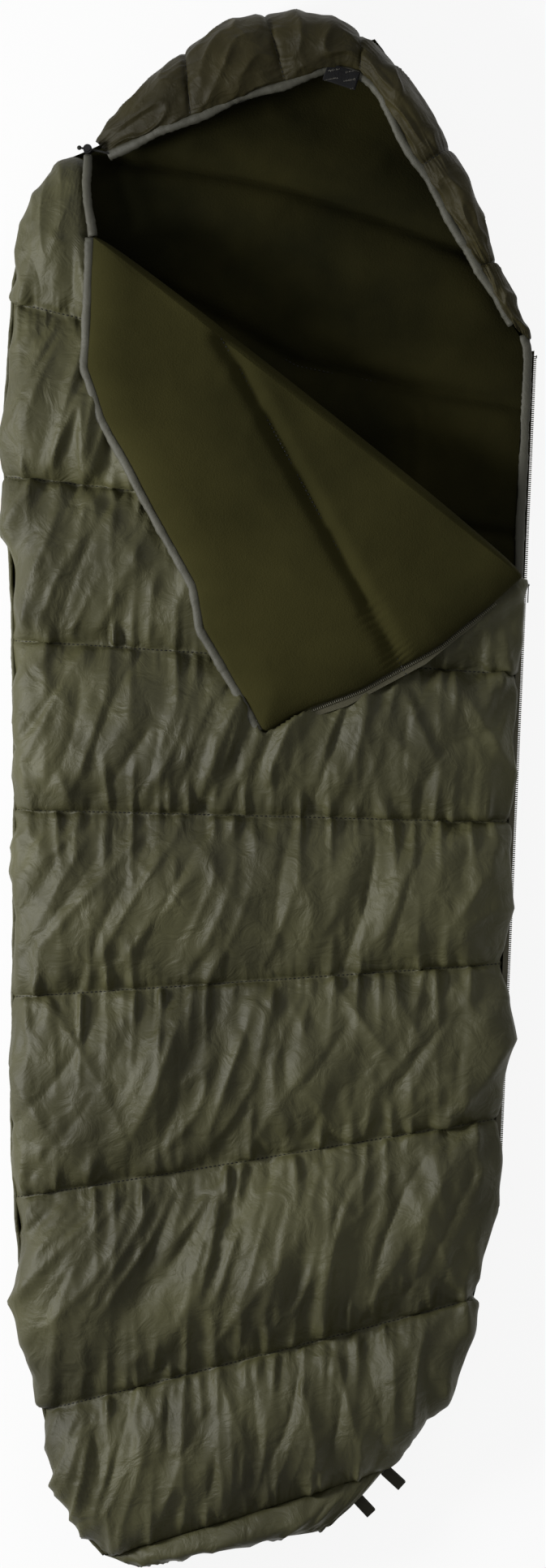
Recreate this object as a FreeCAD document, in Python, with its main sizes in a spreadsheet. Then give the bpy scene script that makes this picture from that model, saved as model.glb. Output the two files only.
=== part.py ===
import FreeCAD, Part
import Sketcher
import os
from math import cos, pi, radians, sin, tan
from FreeCAD import Placement, Rotation, Vector

# A mummy sleeping bag laid flat with its head end towards +Y. The upper right part of its
# front is unzipped and folded down over the rest. Z is up, the ground is z = 0 and the
# origin is under the middle of the bag. Lengths are in millimetres, angles in degrees.

doc = FreeCAD.newDocument("sleeping_bag")
sheet = doc.addObject("Spreadsheet::Sheet", "sizes")

DRIVING_SIZES = [
    ("bag_length", 2300, "crown of the hood to the end of the foot"),
    ("bag_width", 794, "widest place, at the chest"),
    ("seam_height", 44, "height of the side seams above the ground"),
    ("side_round", 45, "width over which a quilt rounds into its side seam"),
    ("back_thickness", 34, "filling of the back at the middle of a channel"),
    ("front_thickness", 36, "filling of the front at the middle of a channel"),
    ("stitch_thickness", 8, "filling under a line of stitches"),
    ("stitch_tuck", 6, "how far a line of stitches pulls the back off the ground"),
    ("cavity_height", 30, "room between the two linings"),
    ("front_crown", 12, "rise of the front from its shoulders to its middle"),
    ("shell_cloth", 0.8, "outer cloth with its folds"),
    ("lining_cloth", 1.5, "brushed lining"),
    ("cloth_gap", 0.3, "clearance between layers"),
    ("flap_thickness", 22, "filling of the folded part of the front"),
    ("flap_clearance", 0.5, "gap between the folded part and the front below it"),
    ("hem_radius", 5, "rolled hem round the opening"),
    ("hem_bore", 2.2, "radius of the tunnel in the hood's hem"),
    ("cord_radius", 1.6, "drawcord"),
    ("crown_height", 138, "top of the hood"),
    ("crown_fill", 26, "filling of a crown baffle"),
    ("foot_fill", 16, "filling of the foot panel"),
    ("foot_slack", 1, "filling of the foot panel to its loose lining"),
    ("tape_reach", 10, "edge of the quilt to the middle of the zip"),
    ("tape_cloth", 0.6, "zip tape"),
    ("coil_size", 2.4, "width and depth of one row of coil"),
    ("coil_gap", 1.6, "gap between the two rows, filled by the loops of the closed coil"),
    ("slider_length", 14, "zip slider"),
    ("slider_width", 10, "zip slider"),
    ("slider_wall", 1, "plates of the slider"),
    ("slide_gap", 0.6, "slider to the coil and to the tape"),
    ("pull_length", 26, "zip pull, eye to tip"),
    ("pull_width", 7, "zip pull"),
    ("pull_thickness", 1.2, "zip pull"),
    ("pin_radius", 0.8, "bar of the slider that the pull swings on"),
    ("pin_gap", 0.15, "bar to the eye of the pull"),
    ("lock_radius", 6.5, "cord lock barrel"),
    ("lock_wall", 1.9, "cord lock barrel"),
    ("lock_rise", 7, "cord to the top of the barrel"),
    ("lock_drop", 12, "cord to the bottom of the barrel"),
    ("lock_floor", 2, "bottom of the barrel"),
    ("lock_travel", 3, "how far the button goes down"),
    ("button_gap", 0.3, "button to the barrel"),
    ("button_web", 1.5, "material of the button under the cord"),
    ("button_rise", 3.5, "button above the barrel"),
    ("spring_wire", 0.35, "half the thickness of the spring's square wire"),
    ("patch_length", 50, "hook and loop patch"),
    ("patch_width", 22, "hook and loop patch"),
    ("patch_thickness", 1.6, "hook and loop patch"),
    ("loop_width", 16, "webbing of the hanging loops"),
    ("loop_length", 34, "how far a hanging loop stands out"),
    ("loop_height", 16, "outside height of a hanging loop"),
    ("webbing", 1.6, "thickness of the webbing"),
]

for row, (alias, value, meaning) in enumerate(DRIVING_SIZES, start=1):
    sheet.set("A%d" % row, meaning)
    sheet.set("B%d" % row, str(value))
    sheet.setAlias("B%d" % row, alias)
doc.recompute()


def size(alias):
    return float(getattr(sheet, alias))


half_length = size("bag_length") / 2
half_width = size("bag_width") / 2
shell_cloth = size("shell_cloth")
lining_cloth = size("lining_cloth")
cloth_gap = size("cloth_gap")
seam_height = size("seam_height")
skin_depth = shell_cloth + cloth_gap
lining_depth = cloth_gap + lining_cloth
cavity_floor = size("back_thickness") + skin_depth + lining_depth
cavity_roof = cavity_floor + size("cavity_height")
front_top = cavity_roof + lining_depth + size("front_thickness") + skin_depth
front_seam = seam_height + 0.5

# ---------------------------------------------------------------- outline and channels

# The zip runs straight down the right side. Its ends are shares of the half width and half
# length, and the quilts stop one tape's reach short of it.
zip_top = Vector(0.977 * half_width, 0.557 * half_length, 0)
zip_bottom = Vector(0.846 * half_width, -0.487 * half_length, 0)
zip_run = zip_top - zip_bottom
zip_angle = -zip_run.getAngle(Vector(0, 1, 0)) * 180 / pi
tape_reach = size("tape_reach")

# Points of the two edges from foot to crown: shares of the half length and half width.
LEFT_EDGE = [
    (-0.998, -0.607), (-0.958, -0.710), (-0.883, -0.796), (-0.697, -0.922), (-0.474, -0.970),
    (0.010, -0.957), (0.234, -0.970), (0.441, -1.000), (0.643, -0.962), (0.718, -0.927),
    (0.756, -0.882), (0.793, -0.811), (0.813, -0.713), (0.838, -0.610), (0.888, -0.453),
    (0.937, -0.327), (0.963, -0.252), (0.997, -0.078),
]
RIGHT_EDGE_FOOT = [
    (-0.921, 0.335), (-0.883, 0.413), (-0.846, 0.469), (-0.810, 0.574), (-0.772, 0.650),
    (-0.697, 0.720), (-0.623, 0.773), (-0.549, 0.816),
]
RIGHT_EDGE_HEAD = [
    (0.606, 0.912), (0.643, 0.872), (0.681, 0.816), (0.756, 0.728), (0.797, 0.675),
    (0.850, 0.627), (0.876, 0.579), (0.900, 0.509), (0.937, 0.461), (0.963, 0.403),
    (0.975, 0.302), (0.987, 0.186),
]


def placed(points):
    return [(y * half_length, x * half_width) for y, x in points]


left_points = placed(LEFT_EDGE)
right_points = placed(RIGHT_EDGE_FOOT)
right_points += [(zip_bottom.y, zip_bottom.x - tape_reach), (zip_top.y, zip_top.x - tape_reach)]
right_points += placed(RIGHT_EDGE_HEAD)


def mix(first, second, share):
    return first + (second - first) * share


def edge_at(points, y):
    for (y0, x0), (y1, x1) in zip(points, points[1:]):
        if y <= y1:
            return mix(x0, x1, (y - y0) / (y1 - y0))
    return points[-1][1]


# Lines of stitches across the bag: left and right ends as shares of the half length.
NECK = (0.804, 0.690)
BACK_CHEST = (0.705, 0.482)
FRONT_TOP = (0.806, 0.640)
FRONT_CHEST = (0.617, 0.454)
BELOW_CHEST = [(0.394, 0.317), (0.184, 0.140), (-0.033, -0.049), (-0.273, -0.230),
               (-0.530, -0.429), (-0.802, -0.659), (-0.990, -0.878)]
CROWN_END = (0.996, 0.986)
BACK_LINES = [NECK, BACK_CHEST] + BELOW_CHEST
FRONT_LINES = [FRONT_TOP, FRONT_CHEST] + BELOW_CHEST
PUFF_STEPS = [(0.0, 0.0), (0.2, 0.85), (0.5, 1.0), (0.8, 0.85), (1.0, 0.0)]
END_STEP = 0.005


def beside_end(share):
    """The two stations that a share lies between, if it is just inside a channel's end."""
    for outer, inner in ((PUFF_STEPS[0][0], PUFF_STEPS[1][0]), (PUFF_STEPS[-1][0], PUFF_STEPS[-2][0])):
        if 0 < abs(share - outer) <= END_STEP:
            return outer, inner, (share - outer) / (inner - outer)
    return None


def across(line_a, line_b, share):
    """Left and right ends of a section at a share of the way from one line to the next."""
    near_end = beside_end(share)
    if near_end:
        outer, inner, part = near_end
        ends = zip(across(line_a, line_b, outer), across(line_a, line_b, inner))
        return [mix(first, second, part) for first, second in ends]
    left_y = mix(line_a[0], line_b[0], share) * half_length
    right_y = mix(line_a[1], line_b[1], share) * half_length
    left = Vector(edge_at(left_points, left_y), left_y, 0)
    right = Vector(edge_at(right_points, right_y), right_y, 0)
    return left, right


# ---------------------------------------------------------------- quilts

def edge_of(start, middle, end):
    if middle is None:
        return Part.makeLine(start, end)
    return Part.Arc(start, middle, end).toShape()


def closed_wire(lower, upper):
    """A wire along the lower spans and back along the upper spans."""
    spans = list(lower)
    spans.append((lower[-1][2], None, upper[-1][2]))
    spans += [(end, middle, start) for start, middle, end in reversed(upper)]
    spans.append((upper[0][0], None, lower[0][0]))
    return Part.Wire([edge_of(*span) for span in spans])


def skin_line(left, right, seam, inset, middle, crown, turn):
    """One face of a layer: from the left seam round to the middle and to the right seam."""
    width = (right - left).Length
    along = (right - left).normalize()
    turn = min(turn, 0.36 * width)
    shoulder = middle - crown
    knee_run = inset + (turn - inset) * (1 - cos(pi / 4))
    knee_rise = seam + (shoulder - seam) * sin(pi / 4)

    def at(run, rise):
        return left + along * run + Vector(0, 0, rise)

    centre = at(width / 2, middle) if crown else None
    return [
        (at(inset, seam), at(knee_run, knee_rise), at(turn, shoulder)),
        (at(turn, shoulder), centre, at(width - turn, shoulder)),
        (at(width - turn, shoulder), at(width - knee_run, knee_rise), at(width - inset, seam)),
    ]


def back_line(left, right, layer, puff):
    """A face of the back. Layers: 0 and 1 shell, 2 and 3 filling, 4 and 5 lining."""
    ground = size("stitch_tuck") if puff == 0 else 0
    fill = mix(size("stitch_thickness"), size("back_thickness"), puff)
    heights = [0, shell_cloth, skin_depth, skin_depth + fill,
               skin_depth + fill + cloth_gap, skin_depth + fill + lining_depth]
    insets = [0, shell_cloth, skin_depth, skin_depth + 3,
              skin_depth + 3 + cloth_gap, skin_depth + 3 + lining_depth]
    turns = [0, 0, 0, 15, 15, 15]
    return skin_line(left, right, seam_height, insets[layer], ground + heights[layer], 0,
                     size("side_round") + turns[layer])


def front_line(left, right, layer, puff):
    """A face of the front, mirrored: 0 and 1 lining, 2 and 3 filling, 4 and 5 shell."""
    fill = mix(size("stitch_thickness"), size("front_thickness"), puff)
    base = mix(cavity_roof + size("stitch_tuck"), cavity_roof, puff)
    heights = [0, lining_cloth, lining_depth, lining_depth + fill,
               lining_depth + fill + cloth_gap, lining_depth + fill + skin_depth]
    insets = [skin_depth + 3 + lining_depth, skin_depth + 3 + cloth_gap, skin_depth + 3,
              skin_depth, shell_cloth, 0]
    turns = [15, 15, 15, 0, 0, 0]
    return skin_line(left, right, front_seam, insets[layer], base + heights[layer],
                     size("front_crown"), size("side_round") + turns[layer])


def ruled(wires):
    """A ruled solid through closed wires, turned outside out if it came out inside out."""
    solid = Part.makeLoft(wires, True, True)
    if solid.Volume < 0:
        solid.reverse()
    return solid


def layer_solid(line_of, lines, lower, upper, steps_of):
    """A ruled solid between two faces of a quilt over one or more channels."""
    wires = []
    for number, (line_a, line_b) in enumerate(zip(lines, lines[1:])):
        for step, puff in steps_of:
            if step == 0 and number > 0:
                continue
            left, right = across(line_a, line_b, step)
            wires.append(closed_wire(line_of(left, right, lower, puff),
                                     line_of(left, right, upper, puff)))
    return ruled(wires)


FILL_STEPS = [(min(max(step, END_STEP), 1 - END_STEP), puff) for step, puff in PUFF_STEPS]


def feature(label, shape):
    item = doc.addObject("Part::Feature", label)
    item.Shape = shape
    item.Label = label
    return item


# The back rests on the ground, which presses the underside of its shell flat.
sole_cut = 0.05
underground = Part.makeBox(4 * half_width, 4 * half_length, half_width,
                           Vector(-2 * half_width, -2 * half_length, sole_cut - half_width))
back_shell = layer_solid(back_line, BACK_LINES, 0, 1, PUFF_STEPS).cut(underground)
feature("back_shell", back_shell.Solids[0])
feature("back_lining", layer_solid(back_line, BACK_LINES, 4, 5, PUFF_STEPS))
for number, channel in enumerate(zip(BACK_LINES, BACK_LINES[1:]), start=1):
    feature("back_fill_%d" % number, layer_solid(back_line, channel, 2, 3, FILL_STEPS))

# The hood's own back panel is sewn to the back along the neck.
HOOD_LINES = [CROWN_END, (NECK[0] + 0.001, NECK[1] + 0.001)]
feature("hood_back_shell", layer_solid(back_line, HOOD_LINES, 0, 1, PUFF_STEPS))
feature("hood_back_fill", layer_solid(back_line, HOOD_LINES, 2, 3, FILL_STEPS))
feature("hood_back_lining", layer_solid(back_line, HOOD_LINES, 4, 5, PUFF_STEPS))

# ---------------------------------------------------------------- fold and front

# The fold runs from the left side of the neck down to the zip on the right.
fold_left = Vector(-0.6625 * half_width, 0.694 * half_length, 0)
fold_right_y = 0.2626 * half_length
fold_right = Vector(edge_at(right_points, fold_right_y), fold_right_y, 0)
fold_along = (fold_right - fold_left).normalize()
fold_length = (fold_right - fold_left).Length
fold_away = Vector(fold_along.y, -fold_along.x, 0)
hood_corner = Vector(-0.685 * half_width, 0.803 * half_length, 0)
fold_edge_gap = 0.5
beyond = 2 * half_length


def prism(points, low, high):
    wire = Part.makePolygon([Vector(point.x, point.y, low) for point in points + points[:1]])
    return Part.Face(wire).extrude(Vector(0, 0, high - low))


opened = prism([hood_corner, fold_left + fold_away * fold_edge_gap,
                fold_right + fold_away * fold_edge_gap + fold_along * beyond,
                Vector(beyond, beyond, 0), Vector(hood_corner.x, beyond, 0)],
               -half_width, half_width)

feature("front_shell", layer_solid(front_line, FRONT_LINES, 4, 5, PUFF_STEPS).cut(opened))
feature("front_lining", layer_solid(front_line, FRONT_LINES, 0, 1, PUFF_STEPS).cut(opened))
for number, channel in enumerate(zip(FRONT_LINES, FRONT_LINES[1:]), start=1):
    filling = layer_solid(front_line, channel, 2, 3, FILL_STEPS)
    if number <= 3:
        filling = filling.cut(opened)
    feature("front_fill_%d" % number, filling)

# The rolled hem of the short piece of the front's edge that isn't folded down.
hem_radius = size("hem_radius")
hem_side = (hood_corner - fold_left).normalize().cross(Vector(0, 0, 1))
front_hem = doc.addObject("Part::Cylinder", "front_hem")
front_hem.Label = "front_hem"
front_hem.setExpression("Radius", "sizes.hem_radius")
front_hem.Height = (hood_corner - fold_left).Length - 4 * hem_radius
hem_start = fold_left + (hood_corner - fold_left).normalize() * 2 * hem_radius
front_hem.Placement = Placement(
    hem_start + hem_side * (hem_radius + cloth_gap) + Vector(0, 0, cavity_roof + hem_radius),
    Rotation(Vector(0, 0, 1), hood_corner - fold_left))

# ---------------------------------------------------------------- folded part of the front

# The flap in its own frame: shares of the fold's length along the fold and away from it.
FLAP_HEM = [(0.012, 0.017), (0.139, 0.193), (0.218, 0.245), (0.398, 0.322), (0.543, 0.383),
            (0.600, 0.436), (0.751, 0.494), (0.806, 0.517)]
FLAP_ZIP = [(0.806, 0.517), (0.845, 0.429), (0.897, 0.341), (0.961, 0.187), (0.990, 0.060)]
QUILT_LINE = [(0.365, 0.024), (0.886, 0.246)]
flap_base = front_top + size("flap_clearance")
flap_rim = 4


def flap_section(share, reach, low, high, rim):
    """A section across the flap: flat below, arched above, with a thin outer rim."""
    foot = fold_left + fold_along * (share * fold_length) + Vector(0, 0, flap_base)
    start = fold_edge_gap
    end = max(reach * fold_length, start + 2)

    def at(run, rise):
        return foot + fold_away * run + Vector(0, 0, rise)

    full = mix(rim, high, min(1, (end - start) / 60))
    lower = [(at(start, low), None, at(end, low))]
    upper = [(at(start, mix(rim, full, 0.75)), at(mix(start, end, 0.4), full), at(end, rim))]
    return closed_wire(lower, upper)


def flap_solid(low, high, rim):
    stations = FLAP_HEM + FLAP_ZIP[1:]
    return ruled([flap_section(share, reach, low, high, rim) for share, reach in stations])


def flap_layer(low, high, rim, below_low, below_high, below_rim):
    """The skin between two flap solids that share their lower face's height."""
    return flap_solid(low, high, rim).cut(flap_solid(below_low, below_high, below_rim))


flap_top = skin_depth + size("flap_thickness")
flap_rim_points = [fold_left + fold_along * (share * fold_length)
                   + fold_away * max(reach * fold_length, fold_edge_gap + 2)
                   for share, reach in FLAP_HEM + FLAP_ZIP[1:]]
flap_fold_points = [fold_left + fold_along * (share * fold_length) + fold_away * fold_edge_gap
                    for share in (FLAP_ZIP[-1][0], FLAP_HEM[0][0])]
feature("flap_shell", prism(flap_rim_points + flap_fold_points, flap_base,
                            flap_base + shell_cloth))
flap_filling = flap_solid(skin_depth, flap_top, flap_rim)
feature("flap_lining", flap_layer(
    skin_depth, flap_top + lining_depth, flap_rim + lining_depth,
    skin_depth - 1, flap_top + cloth_gap, flap_rim + cloth_gap))

quilt_ends = [fold_left + fold_along * (share * fold_length) + fold_away * (reach * fold_length)
              for share, reach in QUILT_LINE]
quilt_along = (quilt_ends[1] - quilt_ends[0]).normalize()
quilt_side = Vector(quilt_along.y, -quilt_along.x, 0)


def beside_quilt(sign):
    near = sign * 1.0
    far = sign * beyond
    corners = [quilt_ends[0] - quilt_along * beyond + quilt_side * near,
               quilt_ends[1] + quilt_along * beyond + quilt_side * near,
               quilt_ends[1] + quilt_along * beyond + quilt_side * far,
               quilt_ends[0] - quilt_along * beyond + quilt_side * far]
    return prism(corners, -half_width, half_width)


feature("flap_fill_1", flap_filling.common(beside_quilt(1)))
feature("flap_fill_2", flap_filling.common(beside_quilt(-1)))


def edging(points, section_at):
    """A strip along the flap's rim, in the same sections as the flap."""
    wires = []
    for (share, reach), (last_share, last_reach) in zip(points, points[1:] + points[-2:-1]):
        rise = (last_reach - reach) / (last_share - share)
        stretch = min((1 + rise * rise) ** 0.5, 3)
        wires.append(section_at(share, reach * fold_length, stretch))
    return ruled(wires)


def hem_section(share, reach, stretch):
    foot = fold_left + fold_along * (share * fold_length) + Vector(0, 0, flap_base + hem_radius)
    radius = hem_radius * stretch
    centre = reach + cloth_gap + radius

    def at(run, rise):
        return foot + fold_away * run + Vector(0, 0, rise)

    near, far = at(centre - radius, 0), at(centre + radius, 0)
    return Part.Wire([Part.Arc(near, at(centre, hem_radius), far).toShape(),
                      Part.Arc(far, at(centre, -hem_radius), near).toShape()])


def strip_section(near, far, low, high):
    def section(share, reach, stretch):
        foot = fold_left + fold_along * (share * fold_length) + Vector(0, 0, flap_base)

        def at(run, rise):
            return foot + fold_away * (reach + run * stretch) + Vector(0, 0, rise)

        return Part.makePolygon([at(near, low), at(far, low), at(far, high), at(near, high),
                                 at(near, low)])
    return section


coil_size = size("coil_size")
tape_cloth = size("tape_cloth")
tape_low = 1.0
feature("flap_hem", edging(FLAP_HEM, hem_section))
ZIP_SIDE = [(0.812, 0.504)] + FLAP_ZIP[1:]
feature("zip_tape_flap", edging(ZIP_SIDE, strip_section(cloth_gap, tape_reach + coil_size,
                                                        tape_low, tape_low + tape_cloth)))
feature("zip_coil_flap", edging(ZIP_SIDE, strip_section(
    tape_reach, tape_reach + coil_size, tape_low + tape_cloth,
    tape_low + tape_cloth + coil_size)))

# ---------------------------------------------------------------- hood

# Radial seams of the crown, from the left corner of the hood round to the right one: foot on
# the outline, lip at the opening (both shares of half width and half length), height of the
# crest as a share of the crown's, and height of the lip as a share of the crest.
CROWN_SEAMS = [
    ((-0.660, 0.826), (-0.617, 0.806), 0.52, 1.00),
    ((-0.327, 0.937), (-0.305, 0.849), 0.92, 0.86),
    ((-0.033, 0.984), (0.043, 0.893), 1.00, 0.83),
    ((0.322, 0.958), (0.320, 0.905), 1.00, 0.83),
    ((0.655, 0.813), (0.552, 0.787), 0.84, 0.84),
    ((0.826, 0.669), (0.766, 0.663), 0.62, 0.90),
    ((0.957, 0.570), (0.907, 0.584), 0.46, 0.92),
]
crown_height = size("crown_height")
seam_numbers = [float(number) for number in range(len(CROWN_SEAMS))]


def curve_through(points):
    curve = Part.BSplineCurve()
    curve.interpolate(Points=points, Parameters=seam_numbers)
    return curve


foot_curve = curve_through([Vector(foot[0] * half_width, foot[1] * half_length, front_seam)
                            for foot, lip, crest, drop in CROWN_SEAMS])
lip_curve = curve_through([Vector(lip[0] * half_width, lip[1] * half_length,
                                  crest * drop * crown_height)
                           for foot, lip, crest, drop in CROWN_SEAMS])
crest_curve = curve_through([Vector(foot[0] * half_width, foot[1] * half_length,
                                    crest * crown_height)
                             for foot, lip, crest, drop in CROWN_SEAMS])


def crown_points(number, step):
    """Foot, lip and crest of the crown at a step between one seam and the next."""
    near_end = beside_end(step)
    if near_end:
        outer, inner, part = near_end
        ends = zip(crown_points(number, outer), crown_points(number, inner))
        return [mix(first, second, part) for first, second in ends]
    return [curve.value(number + step) for curve in (foot_curve, lip_curve, crest_curve)]


def crown_face(foot, lip, top, puff, depth):
    """The arc from the foot over the crest to the lip, a depth under the outside."""
    inward = Vector(lip.x - foot.x, lip.y - foot.y, 0)
    width = inward.Length
    inward.normalize()
    crest_z = top.z + 8 * puff * min(1, width / 60) - 8
    crest = foot + inward * (0.30 * width + 0.6 * depth)
    crest.z = max(crest_z, lip.z + 1) - depth
    start = foot + inward * min(depth, 1 + 0.5 * depth)
    end = Vector(lip.x, lip.y, lip.z - min(depth, 1.5 + 0.1 * depth))
    return [(start, crest, end)]


def crown_depths(foot, lip, puff):
    width = Vector(lip.x - foot.x, lip.y - foot.y, 0).Length
    fill = mix(4, min(size("crown_fill"), 0.3 * width), puff)
    return [0, shell_cloth, skin_depth, skin_depth + fill,
            skin_depth + fill + cloth_gap, skin_depth + fill + lining_depth]


def crown_solid(first, last, outer, inner, steps_of):
    wires = []
    for number in range(first, last):
        for step, puff in steps_of:
            if step == 0 and number > first:
                continue
            foot, lip, top = crown_points(number, step)
            depths = crown_depths(foot, lip, puff)
            wires.append(closed_wire(crown_face(foot, lip, top, puff, depths[inner]),
                                     crown_face(foot, lip, top, puff, depths[outer])))
    return ruled(wires)


last_seam = len(CROWN_SEAMS) - 1
feature("hood_shell", crown_solid(0, last_seam, 0, 1, PUFF_STEPS))
feature("hood_lining", crown_solid(0, last_seam, 4, 5, PUFF_STEPS))
for number in range(last_seam):
    feature("hood_fill_%d" % (number + 1), crown_solid(number, number + 1, 2, 3, FILL_STEPS))

# ---------------------------------------------------------------- hood hem and drawcord


def rounded_path(points):
    """Straight runs joined by tangent arcs, each as large as its two runs allow."""
    edges = []
    start = points[0]
    for before, corner, after in zip(points, points[1:], points[2:]):
        incoming = corner - before
        outgoing = after - corner
        turn = incoming.getAngle(outgoing)
        trim = 0.45 * min(incoming.Length, outgoing.Length)
        entry = corner - incoming.normalize() * trim
        leave = corner + outgoing.normalize() * trim
        radius = trim / tan(turn / 2)
        bisector = (outgoing - incoming).normalize()
        middle = corner + bisector * (radius / cos(turn / 2) - radius)
        edges.append(Part.makeLine(start, entry))
        edges.append(Part.Arc(entry, middle, leave).toShape())
        start = leave
        print("arc radius %.1f" % radius)
    edges.append(Part.makeLine(start, points[-1]))
    return Part.Wire(edges)


def tube(points, radius):
    path = rounded_path(points)
    profile = Part.Wire([Part.makeCircle(radius, points[0], points[1] - points[0])])
    return path.makePipeShell([profile], True, False)


def hem_point(place):
    foot = foot_curve.value(place)
    lip = lip_curve.value(place)
    inward = Vector(lip.x - foot.x, lip.y - foot.y, 0).normalize()
    clearance = 2 * cloth_gap + 3.8 * max(0, place - 4.6)
    return lip + inward * (hem_radius + clearance) - Vector(0, 0, 2)


HEM_PLACES = [5.96, 5.5, 5.0, 4.5, 4.0, 3.55, 3.1, 2.6, 2.1, 1.6, 1.1, 0.6, 0.14]
hem_points = [hem_point(place) for place in HEM_PLACES]
casing_end = hem_points[-1]
casing = tube(hem_points, hem_radius)
feature("hood_hem", casing.cut(tube(hem_points, size("hem_bore"))))

# The cord leaves the tunnel at the left corner, runs straight through the cord lock and ends
# in a knot.
lock_heading = Vector(-0.985, 0.17, 0).normalize()
casing_heading = (casing_end - hem_points[-2]).normalize()
cord_leave = casing_end + casing_heading * 7
cord_turn = cord_leave + Vector(-14, 4, 3)
lock_centre = cord_turn + lock_heading * 24
cord_end = lock_centre + lock_heading * (size("lock_radius") + 2.5)
knot_radius = 3.4
cord_points = hem_points[:-1] + [cord_leave, cord_turn, cord_end]
feature("drawcord", tube(cord_points, size("cord_radius")))
knot = doc.addObject("Part::Sphere", "cord_end_knot")
knot.Label = "cord_end_knot"
knot.Radius = knot_radius
knot.Placement = Placement(cord_end + lock_heading * (knot_radius + 0.05), Rotation())

# ---------------------------------------------------------------- foot panel

foot_line = BELOW_CHEST[-1]
foot_left, foot_right = across(foot_line, foot_line, 0)
FOOT_END_LEFT = Vector(-0.50 * half_width, -1.0 * half_length, 0)
FOOT_END_RIGHT = Vector(0.19 * half_width, -0.955 * half_length, 0)


def foot_block(grow, start_back):
    """The foot's outside, or a hollow a given depth inside it that opens to the bag."""
    stations = []
    for share, swell in [(0, 0), (0.5, 0.6), (1, 0)]:
        left = mix(foot_left, FOOT_END_LEFT, share)
        right = mix(foot_right, FOOT_END_RIGHT, share)
        along = (right - left).normalize()
        out = Vector(along.y, -along.x, 0)
        shift = start_back if share == 0 else grow * share
        left = left + along * (grow + 14 * share * (1 - share)) - out * shift
        right = right - along * (grow + 14 * share * (1 - share)) - out * shift
        low = size("stitch_tuck") * (1 + share) - 6 * swell + grow
        high = mix(cavity_roof + 14, seam_height + 26, share) + 8 * swell - grow
        lower = skin_line(left, right, seam_height, 0, low, 0, size("side_round"))
        upper = skin_line(left, right, front_seam, 0, high, 4, size("side_round"))
        stations.append(closed_wire(lower, upper))
    return ruled(stations)


panel_start = -0.5
hollow_start = -0.45
foot_depth = size("foot_fill")
foot_slack = size("foot_slack")
feature("foot_shell", foot_block(0, panel_start).cut(foot_block(shell_cloth, hollow_start)))
feature("foot_fill", foot_block(skin_depth, panel_start).cut(
    foot_block(skin_depth + foot_depth, 5)))
lining_outside = foot_block(skin_depth + foot_depth + foot_slack, 5)
foot_lining = lining_outside.common(foot_block(0, panel_start)).cut(
    foot_block(skin_depth + foot_depth + foot_slack + lining_cloth, 5))
feature("foot_lining", foot_lining.Solids[0])

# ---------------------------------------------------------------- machined and moulded pieces


def body(label):
    item = doc.addObject("PartDesign::Body", label)
    item.Label = label
    return item


def sketch(owner, role, name):
    item = owner.newObject("Sketcher::SketchObject", name)
    plane = [face for face in owner.Origin.OriginFeatures if face.Role == role][0]
    item.AttachmentSupport = [(plane, "")]
    item.MapMode = "FlatFace"
    return item


def bind(item, kind, first, first_point, second, second_point, expression):
    index = item.addConstraint(
        Sketcher.Constraint(kind, first, first_point, second, second_point, 1.0))
    item.setExpression("Constraints[%d]" % index, expression)


def polygon(item, corners):
    """A closed outline whose corners are expressions measured from the sketch's origin."""
    start = item.GeometryCount
    count = len(corners)
    ring = [Vector(cos(2 * pi * k / count), sin(2 * pi * k / count), 0) for k in range(count)]
    for k in range(count):
        item.addGeometry(Part.LineSegment(ring[k], ring[(k + 1) % count]), False)
    for k in range(count):
        item.addConstraint(Sketcher.Constraint(
            "Coincident", start + k, 2, start + (k + 1) % count, 1))
    for k, (across_x, up_y) in enumerate(corners):
        bind(item, "DistanceX", -1, 1, start + k, 1, across_x)
        bind(item, "DistanceY", -1, 1, start + k, 1, up_y)


def rectangle(item, left, right, low, high):
    polygon(item, [(left, low), (right, low), (right, high), (left, high)])


def circle(item, radius, across_x="0", up_y="0"):
    index = item.GeometryCount
    item.addGeometry(Part.Circle(Vector(0, 0, 0), Vector(0, 0, 1), 1), False)
    radius_index = item.addConstraint(Sketcher.Constraint("Radius", index, 1.0))
    item.setExpression("Constraints[%d]" % radius_index, radius)
    bind(item, "DistanceX", -1, 1, index, 3, across_x)
    bind(item, "DistanceY", -1, 1, index, 3, up_y)


def grow(owner, kind, name, profile, length, reverse=False, both=False):
    """A Pad or Pocket of a sketch, with its length bound to the sheet."""
    item = owner.newObject("PartDesign::" + kind, name)
    item.Profile = profile
    item.Length = 1
    item.setExpression("Length", length)
    item.Reversed = reverse
    item.Midplane = both
    return item


zip_height = seam_height - 1.8
zip_place = Placement(Vector(zip_bottom.x, zip_bottom.y, zip_height),
                      Rotation(Vector(0, 0, 1), zip_angle))
zip_length = zip_run.Length
closed_length = (fold_right_y - zip_bottom.y) / cos(radians(zip_angle))
half_gap = "sizes.coil_gap / 2"
coil_far = "(sizes.coil_gap / 2 + sizes.coil_size)"


def zip_strip(label, corners, length):
    """A strip along the zip, from its lower end: section in x and z, grown towards the head."""
    item = body(label)
    profile = sketch(item, "XZ_Plane", label + "_section")
    polygon(profile, corners)
    strip = grow(item, "Pad", label + "_pad", profile, "1", reverse=True)
    strip.setExpression("Length", None)
    strip.Length = length
    item.Placement = zip_place
    return item


def tape_corners(sign, drop, reach):
    """The tape hangs behind the coil, then slants to the quilt's edge."""
    face = "-(sizes.coil_size / 2 + 0.2)"
    behind = "-(sizes.coil_size / 2 + 0.2 + sizes.tape_cloth)"
    corners = [(face, "%d * (sizes.coil_gap / 2 + 0.4)" % sign),
               (behind, "%d * (sizes.coil_gap / 2 + 0.4)" % sign),
               (behind, "%d * (sizes.slider_width / 2 + 1.8)" % sign),
               (reach, "%d * %s" % (sign, drop)),
               ("%s + 0.4" % reach, "%d * (%s + 0.5)" % (sign, drop)),
               (face, "%d * (sizes.slider_width / 2 + 2.2)" % sign)]
    return corners


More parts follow.
